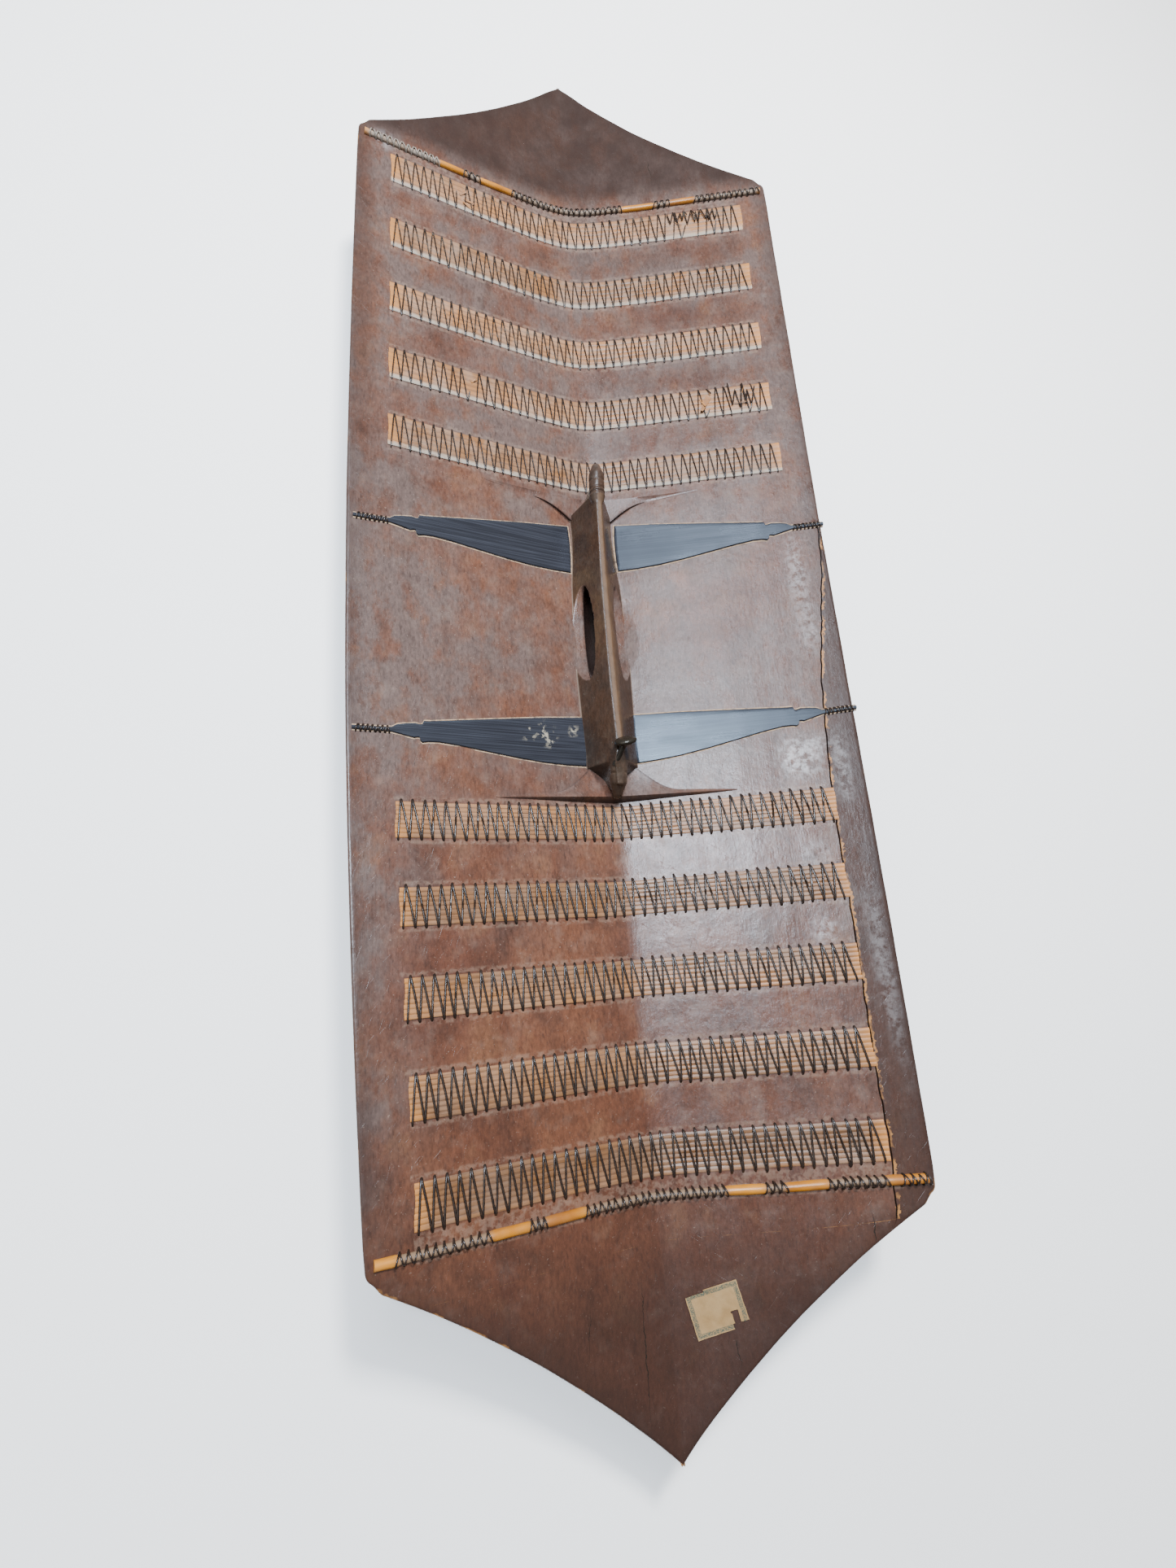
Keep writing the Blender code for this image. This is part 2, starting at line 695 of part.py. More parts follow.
def make_slab(collection):
    # The V section, wider and longer than the board. The columns are the two sides, the
    # edges of the keel's flat and the valley.
    side = MIDDLE_WIDTH / 2 + SLAB_MARGIN
    places = (-side, -KEEL_FLAT_WIDTH / 2, 0.0, KEEL_FLAT_WIDTH / 2, side)
    shape = bmesh.new()
    bmesh.ops.create_grid(shape, x_segments=len(places) - 1, y_segments=ROWS, size=1.0)
    for vertex in shape.verts:
        along = vertex.co.y * ROW_SPACING * ROWS / 2
        x = places[round((vertex.co.x + 1) / 2 * (len(places) - 1))]
        vertex.co = (x, along, inner_height(x, along))
    outer = bmesh.ops.extrude_face_region(shape, geom=list(shape.faces), use_keep_orig=True)
    for item in outer["geom"]:
        if isinstance(item, bmesh.types.BMVert):
            item.co.z = outer_height(item.co.x, item.co.y)
    return add_object("shield_board", mesh_from_bmesh("shield_board", shape), collection, WOOD)


def make_board(collection, cutters):
    board = make_slab(collection)
    outline = outline_object("outline", board_outline(), LENGTH / 4, cutters)
    cut(board, outline, "INTERSECT")
    for name, middle, width, half in bands():
        cut(board, make_recess(name, middle, width, half, cutters))
    cut(board, make_crest("upper_crest", UPPER_CREST, 1, cutters), "UNION")
    cut(board, make_crest("lower_crest", LOWER_CREST, -1, cutters), "UNION")
    cut(board, make_handle_body(cutters), "UNION")
    upper_top = VALLEY_THICKNESS + UPPER_BEAK_TOP
    lower_top = VALLEY_THICKNESS + LOWER_BEAK_TOP
    upper = make_beak("upper_beak", HANDLE_UPPER_WING, 1, UPPER_BEAK_LENGTH, upper_top,
                      UPPER_BEAK_CLIMB, cutters)
    lower = make_beak("lower_beak", HANDLE_LOWER_WING, -1, LOWER_BEAK_LENGTH, lower_top,
                      LOWER_BEAK_CLIMB, cutters)
    cut(board, upper, "UNION")
    cut(board, lower, "UNION")
    cut(board, make_finger_hollow(cutters))
    cut(board, make_peg_socket(cutters))
    cut(board, make_crack(cutters))
    return board


def main():
    for item in list(bpy.data.objects):
        bpy.data.objects.remove(item)
    shield = make_collection("shield")
    cutters = make_collection("cutters")
    make_board(shield, cutters)
    for name, middle, width, half in bands():
        make_band(name, middle, width, half, shield)
        make_lacing(name, middle, width, half, shield)
    upper_cane = UPPER_SHOULDER - CANE_INSET
    lower_cane = CANE_INSET - LOWER_SHOULDER
    for name, along in (("upper", upper_cane), ("lower", lower_cane)):
        make_cane(name + "_end_cane", along, shield)
        for index, (start, end) in enumerate(lashing_groups(along), 1):
            make_lashing(f"{name}_cane_lashing_{index}", along, start, end, shield)
    blades = (("upper_left", -1, UPPER_LEFT_BLADE, -0.047, UPPER_BLADE_HEIGHT),
              ("upper_right", 1, UPPER_RIGHT_BLADE, 0.007, UPPER_BLADE_HEIGHT),
              ("lower_left", -1, LOWER_LEFT_BLADE, -0.010, LOWER_BLADE_HEIGHT),
              ("lower_right", 1, LOWER_RIGHT_BLADE, 0.050, LOWER_BLADE_HEIGHT))
    for name, side, middle, tilt, height in blades:
        make_blade(name + "_blade", side, middle, tilt, height, shield)
        make_binding(name + "_blade_binding", side, middle, tilt, shield)
    make_peg(shield)
    make_patch(shield)


main()
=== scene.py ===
import math

import bpy
import numpy as np
from mathutils import Matrix, Vector


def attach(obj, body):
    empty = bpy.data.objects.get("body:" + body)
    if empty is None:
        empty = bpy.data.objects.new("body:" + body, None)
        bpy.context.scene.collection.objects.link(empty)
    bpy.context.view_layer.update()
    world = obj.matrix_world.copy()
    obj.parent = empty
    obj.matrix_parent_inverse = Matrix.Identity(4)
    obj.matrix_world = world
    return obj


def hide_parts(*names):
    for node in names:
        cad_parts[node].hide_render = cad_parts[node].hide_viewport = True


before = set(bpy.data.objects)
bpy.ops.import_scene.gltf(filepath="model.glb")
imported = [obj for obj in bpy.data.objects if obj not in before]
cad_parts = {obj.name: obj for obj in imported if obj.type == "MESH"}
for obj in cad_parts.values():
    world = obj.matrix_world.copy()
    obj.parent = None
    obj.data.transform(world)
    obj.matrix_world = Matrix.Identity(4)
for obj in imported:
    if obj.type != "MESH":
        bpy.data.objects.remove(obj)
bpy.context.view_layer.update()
print("frame loaded,", len(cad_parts), "nodes")


# Small tools

def only(piece):
    bpy.ops.object.select_all(action="DESELECT")
    piece.select_set(True)
    bpy.context.view_layer.objects.active = piece


def inEditMode(piece, work):
    only(piece)
    bpy.ops.object.mode_set(mode="EDIT")
    bpy.ops.mesh.select_all(action="SELECT")
    work()
    bpy.ops.object.mode_set(mode="OBJECT")


def faceOutward(piece):
    inEditMode(piece, lambda: bpy.ops.mesh.normals_make_consistent(inside=False))


def applyModifiers(piece):
    only(piece)
    for modifier in list(piece.modifiers):
        bpy.ops.object.modifier_apply(modifier=modifier.name)


def pointsOf(piece):
    flat = np.empty(len(piece.data.vertices) * 3, dtype=np.float32)
    piece.data.vertices.foreach_get("co", flat)
    return flat.reshape(-1, 3).astype(float)


def setPoints(piece, x, y, z):
    flat = np.column_stack([x, y, z]).astype(np.float32).ravel()
    piece.data.vertices.foreach_set("co", flat)
    piece.data.update()


def addAttributes(piece, **values):
    # Each value is one number for the whole piece or an array with one for each point
    count = len(piece.data.vertices)
    for name, value in values.items():
        layer = piece.data.attributes.new(name, "FLOAT", "POINT")
        layer.data.foreach_set("value", np.broadcast_to(value, count).astype(np.float32))


def dress(piece, material, node, angle=None):
    # Smooth up to the angle, and in the place of a CAD node
    if angle:
        only(piece)
        bpy.ops.object.shade_smooth_by_angle(angle=math.radians(angle))
    piece.data.materials.clear()
    piece.data.materials.append(material)
    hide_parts(node)
    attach(piece, "root")


def gridPiece(name, columns, rows):
    # A flat grid from -1 to 1. Returns it with each point's column and row.
    bpy.ops.object.select_all(action="DESELECT")
    bpy.ops.mesh.primitive_grid_add(x_subdivisions=columns, y_subdivisions=rows, size=2)
    piece = bpy.context.object
    piece.name = piece.data.name = name
    x, y, _ = pointsOf(piece).T
    column = np.rint((x + 1) / 2 * columns).astype(int)
    row = np.rint((y + 1) / 2 * rows).astype(int)
    return piece, column, row


def thicken(piece, lower):
    # Extrudes the whole sheet down, so that it is closed, and gives its lower side a height
    inEditMode(piece, lambda: bpy.ops.mesh.extrude_region_move(
        TRANSFORM_OT_translate={"value": (0, 0, -1)}))
    x, y, z = pointsOf(piece).T
    chosen = np.zeros(len(x), dtype=bool)
    piece.data.vertices.foreach_get("select", chosen)
    z[chosen] = lower(x[chosen], y[chosen])
    setPoints(piece, x, y, z)
    faceOutward(piece)


def wave(x, seed, *lengths):
    # A gentle made-by-hand unevenness between -1 and 1, the sum of a few sines
    total = np.zeros_like(x, dtype=float)
    for index, length in enumerate(lengths):
        phase = 2.4 * seed + 1.7 * index
        total += np.sin(2 * math.pi * x / length + phase) / (index + 1)
    return total / sum(1 / (index + 1) for index in range(len(lengths)))


def unit(value):
    return np.clip(value, 0, 1)


# Painting: each call adds a node to the tree and gives its output

class painter:
    def __init__(self, tree, vector=None, look=None):
        self.tree, self.vector, self.look = tree, vector, look
        self.colour = None

    def feed(self, socket, value):
        if isinstance(value, bpy.types.NodeSocket):
            self.tree.links.new(value, socket)
        else:
            socket.default_value = value

    def node(self, kind, sockets, **settings):
        node = self.tree.nodes.new("ShaderNode" + kind)
        for name, value in settings.items():
            setattr(node, name, value)
        for key, value in sockets.items():
            self.feed(node.inputs[key], value)
        return node

    def math(self, operation, first, second=0.0, third=0.0, clamp=False):
        sockets = {0: first, 1: second, 2: third}
        return self.node("Math", sockets, operation=operation, use_clamp=clamp).outputs[0]

    def plus(self, first, second):
        return self.math("ADD", first, second)

    def minus(self, first, second, clamp=False):
        return self.math("SUBTRACT", first, second, clamp=clamp)

    def times(self, first, second, clamp=False):
        return self.math("MULTIPLY", first, second, clamp=clamp)

    def span(self, value, lowIn, highIn, lowOut=0.0, highOut=1.0):
        sockets = {"Value": value, "From Min": lowIn, "From Max": highIn,
                   "To Min": lowOut, "To Max": highOut}
        return self.node("MapRange", sockets).outputs["Result"]

    def stretched(self, vector, scale, turn=0.0):
        sockets = {"Vector": vector, "Scale": scale, "Rotation": (0.0, 0.0, turn)}
        return self.node("Mapping", sockets).outputs["Vector"]

    def noise(self, scale, detail=3.0, roughness=0.55, stretch=None, turn=0.0, distortion=0.0):
        vector = self.stretched(self.vector, stretch, turn) if stretch else self.vector
        sockets = {"Vector": vector, "Scale": scale, "Detail": detail,
                   "Roughness": roughness, "Distortion": distortion}
        return self.node("TexNoise", sockets).outputs["Fac"]

    def attribute(self, name):
        return self.node("Attribute", {}, attribute_name=name).outputs["Fac"]

    def group(self, group, **values):
        return self.node("Group", {"Vector": self.vector, **values}, node_tree=group).outputs

    def mix(self, share, first, second, blend="MIX"):
        # The colours are outputs or three numbers each
        first, second = (colour if isinstance(colour, bpy.types.NodeSocket) else (*colour, 1.0)
                         for colour in (first, second))
        sockets = {0: share, 6: first, 7: second}
        return self.node("Mix", sockets, data_type="RGBA", blend_type=blend).outputs[2]

    def base(self, share, first, second):
        self.colour = self.mix(share, self.look[first], self.look[second])

    def over(self, name, share, *limits):
        # Lays a colour of the look over what is there, by a share or by the span of a value
        share = self.span(share, *limits) if limits else share
        self.colour = self.mix(share, self.colour, self.look[name])

    def multiply(self, share, factor):
        self.colour = self.mix(share, self.colour, factor, "MULTIPLY")

    def bump(self, height, strength, distance, normal=None):
        sockets = {"Height": height, "Strength": strength, "Distance": distance}
        if normal:
            sockets["Normal"] = normal
        return self.node("Bump", sockets).outputs["Normal"]

    def finish(self, roughness, normal):
        values = {"Base Color": self.colour, "Roughness": roughness, "Normal": normal}
        for name, value in values.items():
            self.feed(self.shader.inputs[name], value)
        return self.material


def newMaterial(name, look=None):
    material = bpy.data.materials.new(name)
    material.use_nodes = True
    tree = material.node_tree
    paint = painter(tree, tree.nodes.new("ShaderNodeTexCoord").outputs["Object"], look)
    paint.material, paint.shader = material, tree.nodes["Principled BSDF"]
    return paint


def newGroup(name, vectors, **numbers):
    # An effect with a vector, numbers with their usual values, and masks that giveOut names
    tree = bpy.data.node_groups.new(name, "ShaderNodeTree")
    for label in vectors:
        tree.interface.new_socket(label, in_out="INPUT", socket_type="NodeSocketVector")
    for label, value in numbers.items():
        socket = tree.interface.new_socket(label, in_out="INPUT", socket_type="NodeSocketFloat")
        socket.default_value = value
    given = tree.nodes.new("NodeGroupInput").outputs
    return painter(tree, given["Vector"]), given


def giveOut(paint, **masks):
    for label in masks:
        paint.tree.interface.new_socket(label, in_out="OUTPUT", socket_type="NodeSocketFloat")
    result = paint.tree.nodes.new("NodeGroupOutput")
    for label, mask in masks.items():
        paint.feed(result.inputs[label], mask)
    return paint.tree


# Camera and light

cameraSetup = {
    "place": (-0.1480, -0.3107, 0.6174),
    "turn": (-0.2534, 0.1969, 0.0532),  # rotation vector from the world to the camera
    "focalPixels": 864.74,
    "imageHeight": 1927,
    "sensor": 24.0,
    "nearest": 0.01,
}

lights = {
    # name: place, point it looks at, size across and along, watts, colour
    "key": ((0.33, 1.17, 1.95), (0.0, 0.0, 0.0), 0.34, 0.34, 105.0, (1.0, 0.99, 0.97)),
    "ceiling": ((-0.36, 0.22, 1.95), (-0.1, 0.0, 0.0), 0.40, 0.52, 58.0, (0.76, 0.87, 1.0)),
    "far": ((-0.15, 0.95, 1.95), (0.0, 0.1, 0.0), 0.60, 0.55, 20.0, (0.80, 0.88, 1.0)),
    "fill": ((-1.80, -0.40, 1.70), (0.0, 0.0, 0.0), 1.60, 1.60, 14.0, (1.0, 0.96, 0.92)),
}

room = {"colour": (1.0, 0.97, 0.94, 1), "farSide": 0.6, "dim": 0.16, "bright": 0.50}


def makeCamera():
    data = bpy.data.cameras.new("camera")
    data.sensor_fit = "AUTO"  # the sensor's width then spans the long side
    data.sensor_width = cameraSetup["sensor"]
    data.lens = cameraSetup["focalPixels"] * cameraSetup["sensor"] / cameraSetup["imageHeight"]
    data.clip_start = cameraSetup["nearest"]
    view = bpy.data.objects.new("camera", data)
    bpy.context.scene.collection.objects.link(view)
    turn = Vector(cameraSetup["turn"])
    rotation = Matrix.Rotation(turn.length, 4, turn.normalized()).transposed()
    view.matrix_world = Matrix.Translation(cameraSetup["place"]) @ rotation
    bpy.context.scene.camera = view


def makeLights():
    for name, (place, target, across, along, watts, colour) in lights.items():
        data = bpy.data.lights.new(name, "AREA")
        data.shape = "RECTANGLE"
        data.size, data.size_y = across, along
        data.energy = watts
        data.color = colour
        lamp = bpy.data.objects.new(name, data)
        bpy.context.scene.collection.objects.link(lamp)
        lamp.location = place
        look = Vector(target) - Vector(place)
        lamp.rotation_euler = look.to_track_quat("-Z", "Y").to_euler()
        lamp.visible_glossy = name != "key"  # only the others show in the sheen


def makeRoom():
    # Dim on the near side, light on the far side and above
    world = bpy.data.worlds.new("studio")
    world.use_nodes = True
    paint = painter(world.node_tree)
    direction = paint.node("TexCoord", {}).outputs["Generated"]
    split = paint.node("SeparateXYZ", {"Vector": direction}).outputs
    level = paint.math("MULTIPLY_ADD", split["Y"], room["farSide"], split["Z"])
    background = world.node_tree.nodes["Background"].inputs
    paint.feed(background["Strength"], paint.span(level, 0.0, 1.1, room["dim"], room["bright"]))
    background["Color"].default_value = room["colour"]
    bpy.context.scene.world = world


# The board's form, the same as in the CAD model

form = {
    "length": 1.300,
    "middleWidth": 0.438,
    "upperWidth": 0.421,
    "lowerWidth": 0.409,
    "upperShoulder": 0.4925,
    "lowerShoulder": 0.4990,
    "shoulderRadius": 0.009,
    "shoulderTurn": 62,  # degrees
    "endHollow": 0.0105,
    "valley": 0.018,
    "slope": 0.278,
    # How round the valley is at these places along the board
    "roundAlong": (-0.65, -0.20, -0.17, 0.10, 0.22, 0.50),
    "valleyRound": (0.018, 0.014, 0.008, 0.008, 0.019, 0.028),
    "endRise": 0.0315,
    "edge": 0.008,
    "keelFlat": 0.040,
    "keelFlatLength": 0.1117,
    "lean": 0.0035,  # how far the middle stands to the left of the valley
}
# The hollow through the handle, the soft bowl under it and the slot for the fingers
hollow = {"along": -0.0168, "half": 0.0465, "middle": 0.0370, "top": 0.0082,
          "low": 0.0140, "lean": 0.0009, "well": 0.0125}
bowl = {"x": 0.0360, "y": 0.0480, "deep": 0.0036, "along": -0.0190}
slot = {"x": 0.0152, "y": 0.0480, "z": 0.0135, "middle": 0.0215, "along": -0.0115}


def riseAt(y):
    return form["endRise"] * (np.abs(y) / (form["length"] / 2)) ** 2


def innerPlain(x, y):
    bend = np.sqrt(x ** 2 + np.interp(y, form["roundAlong"], form["valleyRound"]) ** 2)
    return form["valley"] + form["slope"] * bend + riseAt(y)


def outerPlain(x, y):
    flat = form["keelFlat"] / 2
    half = form["middleWidth"] / 2
    edgeHeight = form["valley"] + form["slope"] * half - form["edge"]
    side = np.maximum(0.0, np.abs(x) - flat) * edgeHeight / (half - flat)
    return side + np.maximum(0.0, riseAt(y) - riseAt(form["keelFlatLength"]))


def outlineQuarter(width, shoulder):
    # Places along one quarter of the outline, as half widths for rising y
    half, tip, radius = width / 2, form["length"] / 2, form["shoulderRadius"]
    along = list(np.linspace(0.0, shoulder - radius, 40, endpoint=False))
    across = [(form["middleWidth"] - (form["middleWidth"] - width) * (y / shoulder) ** 2) / 2
              for y in along]
    for angle in np.radians(np.linspace(0, form["shoulderTurn"], 9)):
        along.append(shoulder - radius + radius * math.sin(angle))
        across.append(half - radius + radius * math.cos(angle))
    for x in np.linspace(half - 1.1 * radius, 0.0, 40):
        share = x / half
        along.append(tip + (shoulder - tip) * share
                     - 4 * form["endHollow"] * share * (1 - share))
        across.append(x)
    return np.array(along), np.array(across)


upperAlong, upperAcross = outlineQuarter(form["upperWidth"], form["upperShoulder"])
lowerAlong, lowerAcross = outlineQuarter(form["lowerWidth"], form["lowerShoulder"])


def outlineHalf(y):
    return np.where(y > 0, np.interp(y, upperAlong, upperAcross),
                    np.interp(-y, lowerAlong, lowerAcross))


def outlineLean(y):
    return -form["lean"] * unit(1.15 - np.abs(y) / 0.62)


def bowlSpan(x, y):
    return (x / bowl["x"]) ** 2 + ((y - bowl["along"]) / bowl["y"]) ** 2


def slotFloor(x, y):
    inside = 1 - (x / slot["x"]) ** 2 - ((y - slot["along"]) / slot["y"]) ** 4
    depth = slot["z"] * np.sqrt(np.maximum(inside, 0.0))
    return np.where(inside > 0, slot["middle"] - depth, 10.0)


# Bands, canes and their rows of holes

bandLayout = {
    # the first band's place, the pitch and its growth, width, half length and its change,
    # splints in a band
    "upper": dict(start=0.1590, pitch=0.0713, growth=0.0012, width=0.0315, half=0.1880,
                  taper=-0.0015, splints=6),
    "lower": dict(start=-0.1946, pitch=-0.0662, growth=0.0, width=0.0287, half=0.1852,
                  taper=-0.0026, splints=8),
}
bandCount = 5

lacing = {
    "overhang": 0.0030,
    "pitch": 0.0085,
    "start": 0.0020,  # from the mat's end to the first hole
    "margins": 0.0060,  # at both ends together
    "lean": {"upper": 0.40, "lower": 0.26},
    "holeDepth": 0.0026,
    "climb": 0.0016,  # how soon the cord is up on the mat
    "cord": {"upper": 0.0013, "lower": 0.0017},
}

canes = {
    "along": {"upper": 0.4803, "lower": -0.4868},
    "radius": {"upper": 0.0031, "lower": 0.0036},
    "margin": 0.006,
    "stitchGap": 0.0006,  # from the cane's side to the holes
    "stitchPitch": 0.0056,
    "stitchCord": 0.0012,
    "stitchLean": 0.45,  # as a share of the pitch
    "hump": 1.28,  # how high a cord goes over the cane, as a share of its radius
    "holeDepth": 0.0018,
}


def bandList():
    result = []
    for side, layout in bandLayout.items():
        along = layout["start"]
        for index in range(bandCount):
            half = layout["half"] + layout["taper"] * index
            result.append((side, index + 1, along, layout["width"], half))
            along += layout["pitch"] + layout["growth"] * index
    return result


bands = bandList()


def holeRows():
    rows = []
    for side, _, middle, width, _ in bands:
        reach = width / 2 + lacing["overhang"]
        rows += [middle - reach, middle + reach]
    for side, along in canes["along"].items():
        reach = canes["radius"][side] + canes["stitchGap"]
        rows += [along - reach, along + reach]
    return np.array(rows)


# Effects

def makeGrainGroup():
    # Wood grain along Y: streaks, pores and slow bands of growth
    paint, _ = newGroup("woodGrain", ("Vector",))
    return giveOut(paint, Streaks=paint.noise(330.0, 5.0, 0.68, (1.0, 0.08, 1.0)),
                   Pores=paint.noise(620.0, 2.0, 0.5, (1.0, 0.22, 1.0)),
                   Bands=paint.noise(38.0, 3.0, 0.5, (1.0, 0.06, 1.0), 0.0, 0.4))


def makeWearGroup():
    # Wear along an edge, from the distance to it and a broken-up noise
    paint, given = newGroup("edgeWear", ("Vector",), Distance=0.0, Width=0.002, Breakup=60.0)
    near = paint.math("DIVIDE", given["Distance"], given["Width"])
    push = paint.span(paint.noise(given["Breakup"], 4.0, 0.6), 0.40, 0.72, 1.5, -0.5)
    return giveOut(paint, Mask=paint.minus(1.0, paint.plus(near, push), clamp=True))


def makeDustGroup():
    # Dust in patches, as a mask that grows with the amount
    paint, given = newGroup("dust", ("Vector",), Amount=0.5, Scale=30.0)
    cloud = paint.noise(given["Scale"], 5.0, 0.62)
    level = paint.times(paint.minus(1.0, given["Amount"]), 0.75)
    return giveOut(paint, Mask=paint.times(paint.minus(cloud, level), 3.2, clamp=True))


def makeScratchGroup():
    # Fine scratches in three directions
    paint, given = newGroup("scratches", ("Vector",))
    total = None
    for turn, length in ((0.6, 50.0), (-0.8, 70.0), (1.9, 40.0)):
        paint.vector = paint.stretched(given["Vector"], (1.0, 1.0, 1.0), turn)
        lines = paint.span(paint.noise(1.0, 1.0, 0.5, (length, 1700.0, length)), 0.74, 0.80)
        total = lines if total is None else paint.math("MAXIMUM", total, lines)
    return giveOut(paint, Mask=total)


def makeSplitGroup():
    # A short split in the wood, from its middle, turn, half length and half width
    paint, given = newGroup("split", ("Vector", "Middle"), Turn=0.0, Half=0.01, Width=0.0004)
    moved = paint.node("VectorMath", {0: given["Vector"], 1: given["Middle"]},
                       operation="SUBTRACT").outputs[0]
    turned = paint.node("VectorRotate", {"Vector": moved, "Angle": given["Turn"]},
                        rotation_type="Z_AXIS").outputs[0]
    axes = paint.node("SeparateXYZ", {"Vector": turned}).outputs
    along = paint.math("DIVIDE", paint.math("ABSOLUTE", axes["Y"]), given["Half"])
    taper = paint.times(paint.span(along, 0.2, 1.0, 1.0, 0.0), given["Width"])
    sway = paint.span(paint.noise(120.0, 3.0, 0.6), 0.3, 0.7, -0.0012, 0.0012)
    gap = paint.math("ABSOLUTE", paint.plus(axes["X"], sway))
    return giveOut(paint, Mask=paint.span(paint.minus(taper, gap), -0.0001, 0.0001))


grainGroup = makeGrainGroup()
wearGroup = makeWearGroup()
dustGroup = makeDustGroup()
scratchGroup = makeScratchGroup()
splitGroup = makeSplitGroup()


# Board wood

woodLook = {
    "red": (0.076, 0.027, 0.015),
    "glow": (0.104, 0.040, 0.021),
    "dark": (0.020, 0.011, 0.009),
    "split": (0.012, 0.008, 0.006),
    "grey": (0.082, 0.056, 0.049),
    "ochre": (0.150, 0.070, 0.036),
    "raw": (0.330, 0.155, 0.048),
    "dust": (0.240, 0.180, 0.145),
    "white": (0.480, 0.480, 0.500),
    "rim": (0.330, 0.240, 0.180),
    "stained": (0.46, 0.60, 0.62),
    "wornAndLight": (0.170, 0.098, 0.052),
}

woodFinish = {"specular": 0.36, "edgeWear": 0.0009, "rubbedWear": 0.0034,
              "boardDust": 0.30, "handleDust": 0.25}

splits = (
    # middle in millimetres, turn, half the length and half the width in millimetres
    (154, -517, 0.09, 11, 0.45), (-19, -580, 0.04, 48, 0.35), (46.5, -588, -0.05, 10, 0.4),
    (-60, -560, 0.15, 14, 0.25), (92, 528, -0.1, 16, 0.3),
)


def startWood(name, dustAmount):
    # What board and handle share: the wood's colours, patina, grain, specks, dust, scratches and
    # painted shade
    paint = newMaterial(name, woodLook)
    grain = paint.group(grainGroup)
    fineCloud = paint.noise(60.0, 6.0, 0.65, (1.0, 0.55, 1.0))
    mottle = paint.noise(27.0, 6.0, 0.62, (1.0, 0.8, 1.0), 0.4)
    broad = paint.noise(16.0, 4.0, 0.6, (0.7, 1.0, 1.0), 0.3)
    paint.base(paint.span(paint.noise(9.0, 4.0, 0.6, (1.0, 0.6, 1.0)), 0.36, 0.60), "glow", "red")
    paint.over("dark", mottle, 0.50, 0.66, 0.0, 0.55)
    paint.over("ochre", mottle, 0.46, 0.36, 0.0, 0.45)
    patina = paint.times(paint.attribute("patina"), paint.span(fineCloud, 0.34, 0.60, 0.35, 1.25))
    patina = paint.times(patina, paint.span(broad, 0.38, 0.60, 0.45, 1.25), clamp=True)
    paint.over("grey", patina)
    paint.over("dark", grain["Bands"], 0.52, 0.76, 0.0, 0.28)
    speckle = paint.noise(420.0, 5.0, 0.7, (1.0, 0.45, 1.0))
    paint.multiply(1.0, paint.span(speckle, 0.32, 0.68, 0.72, 1.30))
    paint.over("dark", paint.noise(85.0, 4.0, 0.55, (1.0, 0.5, 1.0)), 0.61, 0.74, 0.0, 0.40)
    paint.over("dark", grain["Pores"], 0.60, 0.72, 0.0, 0.45)
    paint.over("dust", paint.noise(620.0, 2.0, 0.5), 0.68, 0.76, 0.0, 0.5)
    dust = paint.group(dustGroup, Amount=dustAmount, Scale=60.0)["Mask"]
    paint.over("dust", paint.times(dust, 0.22))
    scratch = paint.group(scratchGroup)["Mask"]
    paint.over("dust", paint.times(scratch, 0.13))
    # The shade attribute lays painted shade in the slot, in the tunnel, on crest faces and end faces
    # turned from the light, and the darker ends, crack strip and browned stretches, broken up by the
    # mottle
    shadow = paint.span(mottle, 0.38, 0.62, 1.04, 0.80)
    paint.over("dark", paint.times(paint.attribute("shade"), shadow))
    rough = paint.plus(paint.span(fineCloud, 0.3, 0.7, 0.24, 0.34), paint.times(dust, 0.12))
    height = paint.plus(grain["Streaks"], paint.times(grain["Pores"], 0.6))
    height = paint.minus(height, paint.times(scratch, 0.8))
    normal = paint.bump(height, 0.26, 0.0004)
    normal = paint.bump(paint.noise(110.0, 4.0, 0.6), 0.22, 0.0014, normal)
    paint.shader.inputs["Specular IOR Level"].default_value = woodFinish["specular"]
    return paint, rough, normal


def makeBoardWood():
    paint, rough, normal = startWood("boardWood", woodFinish["boardDust"])
    edge = paint.attribute("edgeDistance")
    paint.over("dark", edge, 0.0, 0.020, 0.54, 0.0)
    wide = paint.span(paint.attribute("rubbed"), 0.0, 1.0,
                      woodFinish["edgeWear"], woodFinish["rubbedWear"])
    paint.over("raw", paint.group(wearGroup, Distance=edge, Width=wide, Breakup=45.0)["Mask"])
    # White deposit, broken up
    broken = paint.span(paint.noise(170.0, 5.0, 0.65), 0.42, 0.60)
    smear = paint.times(paint.attribute("smear"), broken, clamp=True)
    paint.over("white", paint.times(smear, 0.42))
    # Raw fibres beside the crack
    crack = paint.attribute("crackDistance")
    jagged = paint.plus(crack, paint.span(paint.noise(260.0, 3.0, 0.6), 0.3, 0.7, -0.0016, 0.0016))
    fibres = paint.math("COMPARE", jagged, 0.0012, 0.0011)
    broken = paint.span(paint.noise(60.0, 3.0, 0.6), 0.44, 0.56)
    paint.over("raw", paint.times(paint.times(fibres, broken), 0.7))
    # Pale rims round the stitches
    rimmed = paint.span(paint.attribute("stitchRow"), 0.0008, 0.0024, 0.16, 0.0)
    paint.over("rim", paint.times(rimmed, paint.span(paint.noise(230.0, 4.0, 0.6), 0.42, 0.56)))
    split = paint.math("COMPARE", crack, 0.0, 0.0005)
    for middleX, middleY, turn, half, width in splits:
        line = paint.group(splitGroup, Turn=turn, Half=half / 1000, Width=width / 1000,
                           Middle=(middleX / 1000, middleY / 1000, 0))
        split = paint.math("MAXIMUM", split, line["Mask"])
    paint.over("split", split)
    return paint.finish(rough, normal)


